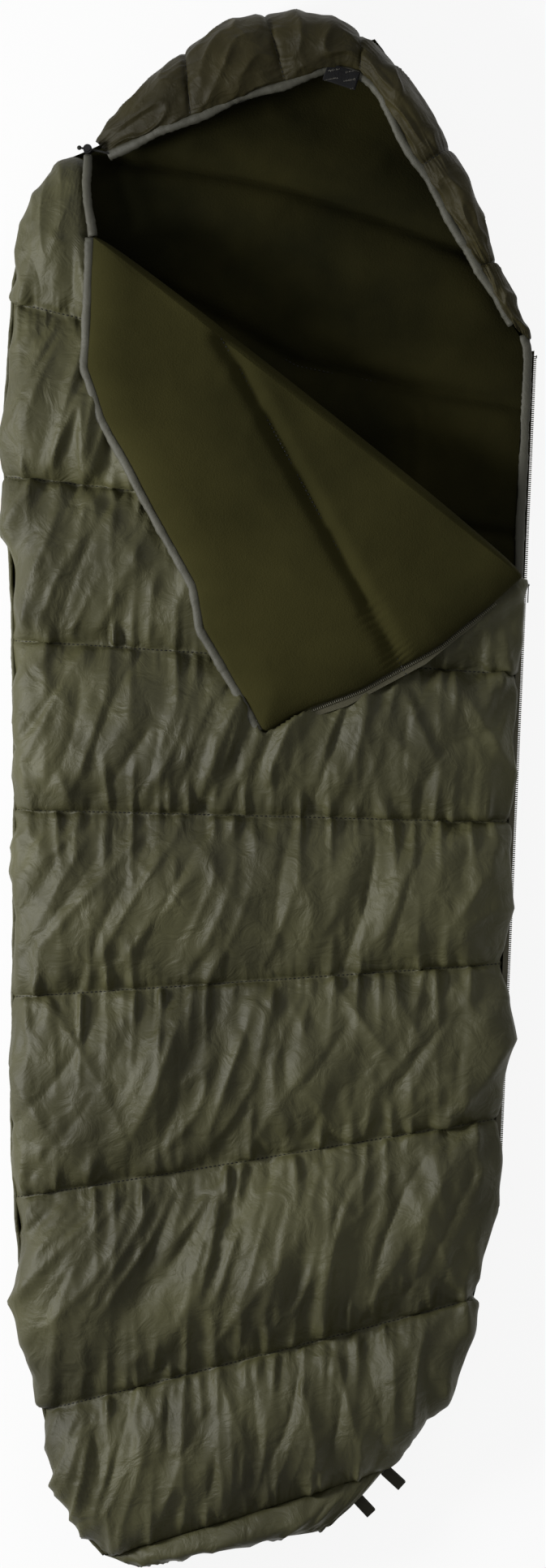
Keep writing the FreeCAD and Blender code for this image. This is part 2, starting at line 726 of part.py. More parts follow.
def coil_corners(sign):
    near = "%d * %s" % (sign, half_gap)
    far = "%d * %s" % (sign, coil_far)
    return [("-sizes.coil_size / 2", near), ("sizes.coil_size / 2", near),
            ("sizes.coil_size / 2", far), ("-sizes.coil_size / 2", far)]


zip_strip("zip_tape_back", tape_corners(-1, "12.4", "-(sizes.tape_reach + 1.6)"), zip_length)
zip_strip("zip_coil_back", coil_corners(-1), zip_length - 6)
zip_strip("zip_tape_front", tape_corners(1, "12.4", "-(sizes.tape_reach - 0.1)"),
          closed_length - 4)
zip_strip("zip_coil_front", coil_corners(1), closed_length - 4)


def zip_stop(label, at, low, high):
    """A small metal block clamped round the tape at an end of the coil."""
    item = body(label)
    profile = sketch(item, "XZ_Plane", label + "_section")
    rectangle(profile, "sizes.coil_size / 2 + 0.3", "sizes.coil_size / 2 + 1.8", low, high)
    grow(item, "Pad", label + "_pad", profile, "4", reverse=True)
    item.Placement = zip_place.multiply(Placement(Vector(0, at, 0), Rotation()))


zip_stop("zip_bottom_stop", 1, "-%s" % coil_far, coil_far)
zip_stop("zip_top_stop", zip_length - 11, "-%s" % coil_far, "-" + half_gap)

# The slider: two plates round the coils, closed at the sides but for the tape, joined by the
# divider at its upper end, with a bridge that carries the pull.
slider = body("zip_slider")
block = sketch(slider, "XZ_Plane", "slider_block")
slider_back = "-(sizes.coil_size / 2 + sizes.slide_gap * 2 + sizes.tape_cloth + sizes.slider_wall)"
slider_front = "(sizes.coil_size / 2 + sizes.slide_gap + sizes.slider_wall)"
rectangle(block, slider_back, slider_front, "-sizes.slider_width / 2", "sizes.slider_width / 2")
grow(slider, "Pad", "slider_block_pad", block, "sizes.slider_length", reverse=True)

room_back = "-(sizes.coil_size / 2 + sizes.slide_gap * 2 + sizes.tape_cloth)"
room_front = "(sizes.coil_size / 2 + sizes.slide_gap)"
room_side = "(sizes.slider_width / 2 - sizes.slider_wall)"
slot_back = "-(sizes.coil_size / 2 + sizes.slide_gap + sizes.tape_cloth + 0.2)"
slot_front = "-(sizes.coil_size / 2 - 0.4)"
far_out = "(sizes.slider_width / 2 + 1)"
channel = sketch(slider, "XZ_Plane", "slider_channel")
polygon(channel, [
    (slot_back, "-" + far_out), (slot_front, "-" + far_out), (slot_front, "-" + room_side),
    (room_front, "-" + room_side), (room_front, room_side), (slot_front, room_side),
    (slot_front, far_out), (slot_back, far_out), (slot_back, room_side),
    (room_back, room_side), (room_back, "-" + room_side), (slot_back, "-" + room_side)])
grow(slider, "Pocket", "slider_channel_cut", channel, "sizes.slider_length - 3")
for sign, name in ((-1, "back"), (1, "front")):
    side = sketch(slider, "XZ_Plane", "slider_%s_mouth" % name)
    inner = "%d * (sizes.coil_gap / 2 - 0.3)" % sign
    polygon(side, [(room_back, inner), (room_front, inner),
                   (room_front, "%d * %s" % (sign, room_side)),
                   (slot_front, "%d * %s" % (sign, room_side)),
                   (slot_front, "%d * %s" % (sign, far_out)),
                   (slot_back, "%d * %s" % (sign, far_out)),
                   (slot_back, "%d * %s" % (sign, room_side)),
                   (room_back, "%d * %s" % (sign, room_side))])
    grow(slider, "Pocket", "slider_%s_mouth_cut" % name, side, "sizes.slider_length + 1")

bridge_y = "sizes.slider_length / 2"
bar_x = "(%s + 2)" % slider_front
posts = sketch(slider, "XY_Plane", "slider_posts")
rectangle(posts, "%s - 0.3" % slider_front, "%s + 1.3" % bar_x, "%s - 1.5" % bridge_y,
          "%s + 1.5" % bridge_y)
grow(slider, "Pad", "slider_posts_pad", posts, "7.4", both=True)
between = sketch(slider, "XY_Plane", "slider_post_gap")
rectangle(between, slider_front, "%s + 2" % bar_x, "%s - 2" % bridge_y, "%s + 2" % bridge_y)
grow(slider, "Pocket", "slider_post_gap_cut", between, "5", both=True)
bar = sketch(slider, "XY_Plane", "slider_bar")
circle(bar, "sizes.pin_radius", bar_x, bridge_y)
grow(slider, "Pad", "slider_bar_pad", bar, "5.4", both=True)

slider_rest = closed_length - size("slider_length") - 1
slider_place = zip_place.multiply(Placement(Vector(0, slider_rest, 0), Rotation()))
slider.Placement = slider_place

# The pull hangs from the bar towards the foot.
pull = body("zip_pull")
eye = sketch(pull, "XY_Plane", "pull_eye")
circle(eye, "sizes.pin_radius + sizes.pin_gap + 0.75", bar_x, bridge_y)
grow(pull, "Pad", "pull_eye_pad", eye, "4.4", both=True)
neck = sketch(pull, "XY_Plane", "pull_neck")
rectangle(neck, "%s - sizes.pull_thickness / 2" % bar_x, "%s + sizes.pull_thickness / 2" % bar_x,
          "%s - 6" % bridge_y, "%s - 1.2" % bridge_y)
grow(pull, "Pad", "pull_neck_pad", neck, "4.4", both=True)
tab = sketch(pull, "XY_Plane", "pull_tab")
rectangle(tab, "%s - sizes.pull_thickness / 2" % bar_x, "%s + sizes.pull_thickness / 2" % bar_x,
          "%s - sizes.pull_length" % bridge_y, "%s - 5" % bridge_y)
grow(pull, "Pad", "pull_tab_pad", tab, "sizes.pull_width", both=True)
eye_hole = sketch(pull, "XY_Plane", "pull_eye_hole")
circle(eye_hole, "sizes.pin_radius + sizes.pin_gap", bar_x, bridge_y)
grow(pull, "Pocket", "pull_eye_hole_cut", eye_hole, "8", both=True)
pull.Placement = slider_place

# The cord lock: a barrel with a bore for the button and a cross hole for the cord.
lock_turn = -lock_heading.getAngle(Vector(-1, 0, 0)) * 180 / pi
lock_place = Placement(lock_centre, Rotation(Vector(0, 0, 1), lock_turn))
lock = body("cord_lock_body")
barrel = sketch(lock, "XY_Plane", "barrel")
circle(barrel, "sizes.lock_radius")
grow(lock, "Pad", "barrel_top", barrel, "sizes.lock_rise")
barrel_low = sketch(lock, "XY_Plane", "barrel_low")
circle(barrel_low, "sizes.lock_radius")
grow(lock, "Pad", "barrel_bottom", barrel_low, "sizes.lock_drop", reverse=True)
bore = sketch(lock, "XY_Plane", "barrel_bore")
circle(bore, "sizes.lock_radius - sizes.lock_wall")
grow(lock, "Pocket", "barrel_bore_up", bore, "sizes.lock_rise + 1", reverse=True)
bore_low = sketch(lock, "XY_Plane", "barrel_bore_low")
circle(bore_low, "sizes.lock_radius - sizes.lock_wall")
grow(lock, "Pocket", "barrel_bore_down", bore_low, "sizes.lock_drop - sizes.lock_floor")
cord_hole = sketch(lock, "YZ_Plane", "barrel_cord_hole")
circle(cord_hole, "sizes.cord_radius + 0.5")
grow(lock, "Pocket", "barrel_cord_cut", cord_hole, "4 * sizes.lock_radius", both=True)
lock.Placement = lock_place

button = body("cord_lock_button")
stem = sketch(button, "XY_Plane", "button_stem")
circle(stem, "sizes.lock_radius - sizes.lock_wall - sizes.button_gap")
grow(button, "Pad", "button_top", stem, "sizes.lock_rise + sizes.button_rise")
stem_low = sketch(button, "XY_Plane", "button_stem_low")
circle(stem_low, "sizes.lock_radius - sizes.lock_wall - sizes.button_gap")
grow(button, "Pad", "button_bottom", stem_low,
     "sizes.cord_radius + sizes.button_gap + sizes.button_web", reverse=True)
window = sketch(button, "YZ_Plane", "button_window")
rectangle(window, "-(sizes.cord_radius + 0.5)", "sizes.cord_radius + 0.5",
          "-(sizes.cord_radius + sizes.button_gap)",
          "sizes.cord_radius + sizes.button_gap + sizes.lock_travel")
grow(button, "Pocket", "button_window_cut", window, "4 * sizes.lock_radius", both=True)
button.Placement = lock_place

spring_wire = size("spring_wire")
spring_low = -size("lock_drop") + size("lock_floor") + spring_wire + 0.1
spring_high = -(size("cord_radius") + size("button_gap") + size("button_web") + spring_wire + 0.1)
spring_radius = size("lock_radius") - size("lock_wall") - 1.2
helix = Part.makeHelix((spring_high - spring_low) / 4, spring_high - spring_low, spring_radius)
near_side = spring_radius - spring_wire
far_side = spring_radius + spring_wire
wire_end = Part.makePolygon([
    Vector(near_side, 0, -spring_wire), Vector(far_side, 0, -spring_wire),
    Vector(far_side, 0, spring_wire), Vector(near_side, 0, spring_wire),
    Vector(near_side, 0, -spring_wire)])
spring = feature("cord_lock_spring", Part.Wire(helix.Edges).makePipeShell([wire_end], True, True))
spring.Placement = Placement(lock_centre + Vector(0, 0, spring_low), Rotation())

# The hook and loop patch lies on the hood's hem at the crown.
patch = body("hook_patch")
patch_shape = sketch(patch, "XY_Plane", "patch_shape")
rectangle(patch_shape, "-sizes.patch_length / 2", "sizes.patch_length / 2",
          "-sizes.patch_width / 2", "sizes.patch_width / 2")
grow(patch, "Pad", "patch_pad", patch_shape, "sizes.patch_thickness")
patch_foot = hem_point(2.75) + Vector(-3, -11.5, 0.5)
patch.Placement = Placement(
    Vector(patch_foot.x, patch_foot.y, patch_foot.z + hem_radius + cloth_gap),
    Rotation(Vector(0, 0, 1), -18))

# Two webbing loops at the right of the foot, for hanging the bag up to air.
loop_shapes = []
for share in (0.02, 0.24):
    root = mix(foot_right, FOOT_END_RIGHT, share * 2) + Vector(2.2 - 14 * share, 0, 0)
    wide = size("loop_width")
    deep = size("loop_length")
    tall = size("loop_height")
    cloth = size("webbing")
    ring = Part.makeBox(deep, wide, tall, Vector(0, -wide / 2, -tall / 2))
    hole = Part.makeBox(deep - 2 * cloth, wide + 2, tall - 2 * cloth,
                        Vector(cloth, -wide / 2 - 1, -tall / 2 + cloth))
    loop = ring.cut(hole)
    loop.Placement = Placement(root + Vector(0, 0, seam_height),
                               Rotation(Vector(0, 0, 1), -42 - 20 * share))
    loop_shapes.append(loop)
    print("loop centre", loop.BoundBox.Center)
feature("hang_loops", Part.makeCompound(loop_shapes))

# ---------------------------------------------------------------- checks and export

doc.recompute()
os.makedirs("parts", exist_ok=True)
for item in doc.Objects:
    if "Invalid" in item.State or "Error" in item.State:
        raise RuntimeError("%s did not build: %s" % (item.Label, item.State))

pieces = [item for item in doc.Objects
          if item.TypeId == "PartDesign::Body" or item.TypeId.startswith("Part::")]
for item in pieces:
    if item.Shape.isNull() or not item.Shape.isValid():
        raise RuntimeError("%s is not a valid solid" % item.Label)
for item in pieces:
    item.Shape.exportStep("parts/%s.step" % item.Label)
print("%d pieces" % len(pieces))
for name, point in [("fold_left", fold_left), ("fold_right", fold_right),
                    ("lock_centre", lock_centre), ("spring floor", Vector(0, 0, spring_low)),
                    ("pull bar", slider_place.multVec(Vector(4.8, 7, 0)))]:
    print("%s %.2f %.2f %.2f" % (name, point.x, point.y, point.z))
print("zip run", zip_run.normalize(), "slider at", slider_rest, "of", zip_length)
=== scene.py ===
import bpy
import math
import numpy as np
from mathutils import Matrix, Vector, noise


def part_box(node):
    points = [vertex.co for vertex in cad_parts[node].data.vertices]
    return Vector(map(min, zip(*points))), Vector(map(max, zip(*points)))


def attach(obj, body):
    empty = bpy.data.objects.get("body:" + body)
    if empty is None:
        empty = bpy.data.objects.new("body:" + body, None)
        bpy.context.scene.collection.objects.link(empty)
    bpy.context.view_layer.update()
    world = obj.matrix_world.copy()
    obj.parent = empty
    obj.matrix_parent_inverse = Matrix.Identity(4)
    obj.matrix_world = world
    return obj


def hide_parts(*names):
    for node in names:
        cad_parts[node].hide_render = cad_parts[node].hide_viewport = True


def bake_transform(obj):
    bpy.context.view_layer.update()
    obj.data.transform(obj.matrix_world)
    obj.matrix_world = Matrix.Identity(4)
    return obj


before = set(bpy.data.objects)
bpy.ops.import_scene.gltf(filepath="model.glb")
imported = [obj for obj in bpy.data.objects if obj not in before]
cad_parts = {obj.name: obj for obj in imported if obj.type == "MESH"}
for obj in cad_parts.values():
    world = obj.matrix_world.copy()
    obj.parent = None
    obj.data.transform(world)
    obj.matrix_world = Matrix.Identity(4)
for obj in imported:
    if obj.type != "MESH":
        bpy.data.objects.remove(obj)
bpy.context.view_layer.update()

# ---------------------------------------------------------------- the floor and the light
# The bag lies open on a plain pale floor, with its hood at the far end, and is looked at from
# straight above. Two broad soft lamps and an even sky light it at a plain level. All sizes are
# in metres.
eye_height = 6.0
cloth_level = 0.09
seen_length = 2.299
half_film = 18.0

camera = bpy.data.objects.new("camera", bpy.data.cameras.new("camera"))
camera.data.sensor_fit = "VERTICAL"
camera.data.sensor_height = 2 * half_film
camera.data.lens = 2 * half_film * eye_height / seen_length
camera.location = (0, 0, cloth_level + eye_height)
bpy.context.scene.collection.objects.link(camera)
bpy.context.scene.camera = camera


def soft_lamp(name, place, power, size):
    lamp = bpy.data.objects.new(name, bpy.data.lights.new(name, "AREA"))
    lamp.data.energy = power
    lamp.data.size = size
    lamp.location = place
    lamp.rotation_euler = (-Vector(place)).to_track_quat("-Z", "Y").to_euler()
    bpy.context.scene.collection.objects.link(lamp)


soft_lamp("lamp_at_the_left", (-2.9, 0.05, 1.55), 120, 0.8)
soft_lamp("lamp_over_the_hood", (1.2, 3.0, 2.6), 13, 1.2)

sky = bpy.data.worlds.new("sky")
sky.use_nodes = True
sky.node_tree.nodes["Background"].inputs["Color"].default_value = (1, 1, 1, 1)
sky.node_tree.nodes["Background"].inputs["Strength"].default_value = 0.30
bpy.context.scene.world = sky
bpy.context.scene.view_settings.view_transform = "Standard"

pale = bpy.data.materials.new("pale_floor")
pale.use_nodes = True
nodes, links = pale.node_tree.nodes, pale.node_tree.links
nodes["Principled BSDF"].inputs["Base Color"].default_value = (0.85, 0.85, 0.85, 1)
nodes["Principled BSDF"].inputs["Roughness"].default_value = 0.9
rays = nodes.new("ShaderNodeLightPath")
seen_or_mirrored = nodes.new("ShaderNodeMath")
seen_or_mirrored.operation = "MAXIMUM"
seen_in_any_way = nodes.new("ShaderNodeMath")
seen_in_any_way.operation = "MAXIMUM"
share_seen = nodes.new("ShaderNodeMath")
share_seen.operation = "MULTIPLY"
share_seen.inputs[1].default_value = 0.9
glow = nodes.new("ShaderNodeEmission")
lit = nodes.new("ShaderNodeMixShader")
links.new(rays.outputs["Is Camera Ray"], seen_or_mirrored.inputs[0])
links.new(rays.outputs["Is Glossy Ray"], seen_or_mirrored.inputs[1])
links.new(seen_or_mirrored.outputs[0], seen_in_any_way.inputs[0])
links.new(rays.outputs["Is Transmission Ray"], seen_in_any_way.inputs[1])
links.new(seen_in_any_way.outputs[0], share_seen.inputs[0])
links.new(share_seen.outputs[0], lit.inputs["Fac"])
links.new(nodes["Principled BSDF"].outputs["BSDF"], lit.inputs[1])
links.new(glow.outputs["Emission"], lit.inputs[2])
links.new(lit.outputs["Shader"], nodes["Material Output"].inputs["Surface"])
floor_half = 6.0
floor_level = -0.001


def made(name, points, faces, material, smooth=True):
    """A piece from its points and faces."""
    mesh = bpy.data.meshes.new(name)
    mesh.from_pydata([tuple(point) for point in points], [], faces)
    if smooth:
        mesh.polygons.foreach_set("use_smooth", [True] * len(faces))
    mesh.materials.append(material)
    piece = bpy.data.objects.new(name, mesh)
    bpy.context.scene.collection.objects.link(piece)
    return piece


floor = made("floor", [(across * floor_half, along * floor_half, floor_level)
                       for across, along in ((-1, -1), (1, -1), (1, 1), (-1, 1))],
             [(0, 1, 2, 3)], pale, smooth=False)

# ---------------------------------------------------------------- the front
# The quilted front runs from the left side seam over to the zip, sewn through across the bag
# in eight channels. Its shell is a thin satin nylon, which puckers along each row of stitching
# and drags into long folds.


def cloth(name, deep, light, roughness, weave=0.0, crumple=0.0, nap=0.0, sheen=0.0, gloss=0.4):
    """A cloth whose colour drifts between two shades, with its threads and small crumples."""
    material = bpy.data.materials.new(name)
    material.use_nodes = True
    nodes, links = material.node_tree.nodes, material.node_tree.links
    surface = nodes["Principled BSDF"]
    surface.inputs["Roughness"].default_value = roughness
    surface.inputs["Specular IOR Level"].default_value = gloss
    surface.inputs["Sheen Weight"].default_value = sheen
    surface.inputs["Sheen Roughness"].default_value = 0.45
    surface.inputs["Sheen Tint"].default_value = (*light, 1)
    place = nodes.new("ShaderNodeTexCoord")
    drift = nodes.new("ShaderNodeTexNoise")
    drift.inputs["Scale"].default_value = 5.5
    drift.inputs["Detail"].default_value = 6
    shades = nodes.new("ShaderNodeValToRGB")
    shades.color_ramp.elements[0].position = 0.34
    shades.color_ramp.elements[0].color = (*deep, 1)
    shades.color_ramp.elements[1].position = 0.66
    shades.color_ramp.elements[1].color = (*light, 1)
    links.new(place.outputs["Object"], drift.inputs["Vector"])
    links.new(drift.outputs["Fac"], shades.inputs["Fac"])
    links.new(shades.outputs["Color"], surface.inputs["Base Color"])
    below = None
    reliefs = []
    if crumple:
        creases = nodes.new("ShaderNodeTexNoise")
        creases.inputs["Scale"].default_value = 26
        creases.inputs["Detail"].default_value = 4
        creases.inputs["Distortion"].default_value = 0.8
        reliefs.append((creases, crumple, 0.006))
    if nap:
        pile = nodes.new("ShaderNodeTexNoise")
        pile.inputs["Scale"].default_value = 420
        pile.inputs["Detail"].default_value = 3
        reliefs.append((pile, nap, 0.0012))
    if weave:
        for direction in ("X", "Y"):
            threads = nodes.new("ShaderNodeTexWave")
            threads.bands_direction = direction
            threads.inputs["Scale"].default_value = 330
            threads.inputs["Distortion"].default_value = 0.3
            reliefs.append((threads, weave, 0.0003))
    for relief, strength, distance in reliefs:
        links.new(place.outputs["Object"], relief.inputs["Vector"])
        bump = nodes.new("ShaderNodeBump")
        bump.inputs["Strength"].default_value = strength
        bump.inputs["Distance"].default_value = distance
        links.new(relief.outputs["Fac"], bump.inputs["Height"])
        if below:
            links.new(below.outputs["Normal"], bump.inputs["Normal"])
        below = bump
    links.new(below.outputs["Normal"], surface.inputs["Normal"])
    return material


satin = cloth("olive_satin", (0.036, 0.034, 0.0125), (0.072, 0.069, 0.028), roughness=0.56,
              weave=0.18, crumple=0.85, sheen=0.03, gloss=0.38)

# Places on the outline are shares of the half length and the half width, (along, out).
half_length = 1.150
half_width = 0.397
seam_level = 0.0445
fewest_rows = 8
left_edge = [
    (-0.998, -0.607), (-0.958, -0.710), (-0.883, -0.796), (-0.697, -0.922), (-0.474, -0.970),
    (0.010, -0.957), (0.234, -0.970), (0.441, -1.000), (0.643, -0.962), (0.718, -0.927),
    (0.756, -0.882), (0.793, -0.811), (0.813, -0.713), (0.838, -0.610), (0.888, -0.453),
    (0.937, -0.327), (0.963, -0.252), (0.997, -0.078),
]
right_edge = [
    (-0.921, 0.335), (-0.883, 0.413), (-0.846, 0.469), (-0.810, 0.574), (-0.772, 0.650),
    (-0.697, 0.720), (-0.623, 0.773), (-0.549, 0.816), (-0.487, 0.821), (0.557, 0.952),
    (0.606, 0.912), (0.643, 0.872), (0.681, 0.816), (0.756, 0.728), (0.797, 0.675),
    (0.850, 0.627), (0.876, 0.579), (0.900, 0.509), (0.937, 0.461), (0.963, 0.403),
    (0.975, 0.302), (0.987, 0.186),
]
front_rows = [(0.806, 0.640), (0.617, 0.454), (0.394, 0.317), (0.184, 0.140), (-0.033, -0.049),
              (-0.273, -0.230), (-0.530, -0.429), (-0.802, -0.659), (-0.990, -0.878)]
fold_left = Vector((-0.2630, 0.7981))
fold_right = Vector((0.3632, 0.3020))
hood_corner = Vector((-0.272, 0.923))


def edge_at(edge, y):
    """How far out an edge lies at a place along the bag."""
    places = [half_length * along for along, out in edge]
    outs = [half_width * out for along, out in edge]
    return float(np.interp(y, places, outs))


def row_ends(rows, channel, share):
    """The two ends, on the outline, of a line across the bag part of the way down a channel."""
    left_y = half_length * (rows[channel][0] * (1 - share) + rows[channel + 1][0] * share)
    right_y = half_length * (rows[channel][1] * (1 - share) + rows[channel + 1][1] * share)
    return (Vector((edge_at(left_edge, left_y), left_y)),
            Vector((edge_at(right_edge, right_y), right_y)))


def before_opening(left, right):
    """The share of a row that lies on the front, before the hood's edge or the fold."""
    across = right - left
    for start, end in ((hood_corner, fold_left), (fold_left, fold_right)):
        edge = end - start
        turn = across.x * edge.y - across.y * edge.x
        away = start - left
        along_row = (away.x * edge.y - away.y * edge.x) / turn
        along_edge = (away.x * across.y - away.y * across.x) / turn
        if 0 <= along_edge <= 1 and 0 < along_row < 1:
            return along_row
    return 1.0


def row_count(rows, channel, spacing):
    """An even number of mesh rows for a channel, by its mean length."""
    drop = half_length * (rows[channel][0] - rows[channel + 1][0]
                          + rows[channel][1] - rows[channel + 1][1]) / 2
    return max(fewest_rows, int(round(drop / spacing / 2)) * 2)


def quilt_places(rows, spacing):
    """Every row of the mesh as (channel, share of the channel), and those that are stitched."""
    places = []
    stitched = []
    for channel in range(len(rows) - 1):
        stitched.append(len(places))
        count = row_count(rows, channel, spacing)
        places += [(channel, step / count) for step in range(count)]
    stitched.append(len(places))
    places.append((len(rows) - 2, 1.0))
    return places, stitched


def channel_puff(share):
    """How far a place in a channel is puffed, 0 at its stitching and 1 midway."""
    return math.sin(math.pi * share) ** 0.6 if 0 < share < 1 else 0.0


def ridges(x, y, z):
    """Sharp winding crests, 1 on a crest and 0 between them."""
    return max(0.0, 1 - 2.6 * abs(noise.noise(Vector((x, y, z))))) ** 1.5


def cloth_object(name, points, columns, material, closed=False, capped=False):
    """A sheet or, closed and capped, a roll of quads from rows of points."""
    rows = len(points) // columns
    faces = []
    for row in range(rows - 1):
        for column in range(columns - (0 if closed else 1)):
            beside = (column + 1) % columns
            faces.append((row * columns + column, (row + 1) * columns + column,
                          (row + 1) * columns + beside, row * columns + beside))
    if capped:
        last = len(points) - 1
        faces += [tuple(range(columns)), tuple(range(last, last - columns, -1))]
    return made(name, points, faces, material)


def blow_up(sheet, held, pressure, frames, most):
    """Swells a quilt's cloth between its seams by cloth simulation, and applies it."""
    before = np.empty(len(sheet.data.vertices) * 3)
    sheet.data.vertices.foreach_get("co", before)
    seams = sheet.vertex_groups.new(name="seams")
    seams.add(held, 1.0, "REPLACE")
    swell = sheet.modifiers.new("swell", "CLOTH")
    swell.settings.quality = 4
    swell.settings.mass = 0.15
    swell.settings.tension_stiffness = 8
    swell.settings.compression_stiffness = 8
    swell.settings.shear_stiffness = 3
    swell.settings.bending_stiffness = 0.01
    swell.settings.use_pressure = True
    swell.settings.uniform_pressure_force = pressure
    swell.settings.vertex_group_mass = "seams"
    swell.settings.pin_stiffness = 1
    swell.settings.effector_weights.gravity = 0
    swell.collision_settings.use_collision = False
    swell.collision_settings.use_self_collision = False
    swell.point_cache.frame_start = 1
    swell.point_cache.frame_end = frames
    for step in range(1, frames + 1):
        bpy.context.scene.frame_set(step)
    blown = sheet.evaluated_get(bpy.context.evaluated_depsgraph_get()).data
    after = np.empty(len(sheet.data.vertices) * 3)
    blown.vertices.foreach_get("co", after)
    moved = (after - before).reshape(-1, 3)
    length = np.linalg.norm(moved, axis=1, keepdims=True)
    moved *= np.minimum(1, most / np.maximum(length, 1e-9))
    sheet.modifiers.clear()
    sheet.vertex_groups.clear()
    bpy.context.scene.frame_set(1)
    sheet.data.vertices.foreach_set("co", (before.reshape(-1, 3) + moved).ravel())
    sheet.data.update()


def twice_as_fine(grid, axis):
    """Puts a smoothly placed row between each two rows of a grid of points."""
    grid = np.moveaxis(grid, axis, 0)
    padded = np.concatenate([2 * grid[:1] - grid[1:2], grid, 2 * grid[-1:] - grid[-2:-1]])
    between = (9 * (padded[1:-2] + padded[2:-1]) - padded[:-3] - padded[3:]) / 16
    fine = np.empty((2 * len(grid) - 1,) + grid.shape[1:])
    fine[0::2] = grid
    fine[1::2] = between
    return np.moveaxis(fine, 0, axis)


def finer(sheet, columns):
    """The sheet's points as a grid twice as fine both ways."""
    points = np.empty(len(sheet.data.vertices) * 3)
    sheet.data.vertices.foreach_get("co", points)
    grid = points.reshape(-1, columns, 3)
    return twice_as_fine(twice_as_fine(grid, 0), 1)


def crumpled(grid, relief):
    """Moves each point of a grid along its normal by the relief there."""
    along = np.gradient(grid, axis=0)
    over = np.gradient(grid, axis=1)
    normal = np.cross(along, over)
    length = np.linalg.norm(normal, axis=2, keepdims=True)
    normal /= np.maximum(length, 1e-12)
    middle = normal[grid.shape[0] // 2, grid.shape[1] // 2]
    if middle[2] < 0:
        normal = -normal
    return grid + normal * relief[:, :, None]


front_columns = 97
front_spacing = 0.0075
front_places, front_stitched = quilt_places(front_rows, front_spacing)
side_turn = 0.052
most_turn = 0.45
stitch_top = 0.078
puffed_top = 0.107
middle_rise = 0.012
opening_droop, droop_reach = 0.012, 0.016
left_bulge, left_pinch = 0.011, 0.005
zip_bulge, zip_lap = 0.014, 0.004


def front_point(channel, share, step):
    """A point of the satin: puffed in the channels, rounded at the sides, down at the opening."""
    left, right = row_ends(front_rows, channel, share)
    reach = before_opening(left, right)
    span = right - left
    puff = channel_puff(share)
    top = stitch_top + (puffed_top - stitch_top) * puff
    run = step * reach * span.length
    rest = span.length - run
    turn = min(side_turn, most_turn * span.length)
    near_left = min(run / turn, 1)
    near_right = min(rest / turn, 1) if reach == 1 else 1
    side = math.sqrt(1 - (1 - min(near_left, near_right)) ** 2)
    crown = 1 - middle_rise * (2 * run / span.length - 1) ** 2 / top
    height = seam_level + (top * crown - seam_level) * side
    if reach < 1:
        to_edge = (1 - step) * reach * span.length
        height -= opening_droop * math.exp(-to_edge / droop_reach)
    place = left + span * (run / span.length)
    bulge = left_bulge * puff - left_pinch
    place -= span.normalized() * bulge * math.sin(math.pi * near_left ** 0.5)
    if reach == 1:
        over_zip = zip_bulge * puff + zip_lap
        place += span.normalized() * over_zip * math.sin(math.pi * near_right ** 0.5)
    return (place.x, place.y, height)


front_cover_points = [front_point(channel, share, column / (front_columns - 1))
                      for channel, share in front_places for column in range(front_columns)]
front_cover = cloth_object("front_cover", front_cover_points, front_columns, satin)
held_points = [row * front_columns + column for row in front_stitched
               for column in range(front_columns)]
held_points += [row * front_columns + column for row in range(len(front_places))
                for column in (0, front_columns - 1)]
blow_up(front_cover, held_points, pressure=5.0, frames=16, most=0.012)

drag_angles = (75, 68, 58, 63, 64, 58, 64, 78)
channel_length = 0.2
pucker_depth, pucker_reach, pucker_start = 0.0120, 0.042, 0.004
fine_pucker_depth, fine_pucker_reach, fine_pucker_start = 0.0045, 0.013, 0.003
long_fold_depth = 0.0150
thin_fold_depth = 0.0090
swell_depth = 0.0120
counter_depth = 0.0080
valley_depth = 0.0050
small_depth = 0.0016
mean_width = 0.75
fade_width = 0.08
least_relief = 0.15


def front_relief(grid, channels, shares, opened):
    """Puckers from the stitching, long slanting folds and small creases, in metres."""
    relief = np.zeros(grid.shape[:2])
    for row in range(grid.shape[0]):
        channel, share = channels[row], shares[row]
        puff = math.sin(math.pi * share)
        slant = math.radians(drag_angles[channel])
        turn_x, turn_y = math.cos(slant), math.sin(slant)
        away = channel_length * min(share, 1 - share)
        pucker = (pucker_depth * math.exp(-away / pucker_reach)
                  * (1 - math.exp(-away / pucker_start)))
        fine_pucker = (fine_pucker_depth * math.exp(-away / fine_pucker_reach)
                       * (1 - math.exp(-away / fine_pucker_start)))
        side = 0 if share < 0.5 else 7
        for column in range(grid.shape[1]):
            x, y = grid[row, column, 0], grid[row, column, 1]
            wander = 0.05 * noise.noise(Vector((x * 3, y * 3, 5 + channel)))
            along = x * turn_x + y * turn_y
            beside = -x * turn_y + y * turn_x + wander
            long_fold = ridges(beside * 11, along * 1.9, 3.1 * channel)
            thin_fold = ridges(beside * 24, along * 4.5, 9 + 1.7 * channel)
            where = 0.6 + 1.1 * noise.noise(Vector((x * 4, y * 5, 40)))
            small = noise.noise(Vector((x * 34, y * 26, 20)))
            swell = noise.noise(Vector((beside * 11, along * 2.4, 30 + channel)))
            counter = ridges((x * turn_x - y * turn_y) * 3, (x * turn_y + y * turn_x) * 13, 50)
            valley = ridges(beside * 15 + 9, along * 3.1, 60 + channel) ** 2
            gather = ridges(x * 25 + wander * 8, y * 2.5, channel + side) - 0.25
            fine_gather = ridges(x * 72, y * 3, channel + side + 30) - 0.3
            relief[row, column] = (
                pucker * gather * (1.1 + 1.6 * small) + fine_pucker * fine_gather
                + puff ** 0.6 * (long_fold_depth * long_fold + thin_fold_depth * thin_fold)
                * max(where, 0)
                + puff ** 0.5 * (swell_depth * swell + counter_depth * counter * max(1 - where, 0))
                - puff ** 0.5 * valley_depth * valley
                + puff ** 0.5 * small_depth * small)
        edge = opened[row]
        if edge < 1:
            to_edge = (1 - np.linspace(0, 1, grid.shape[1])) * edge * mean_width
            relief[row] *= np.clip(to_edge / fade_width, least_relief, 1)
    return relief


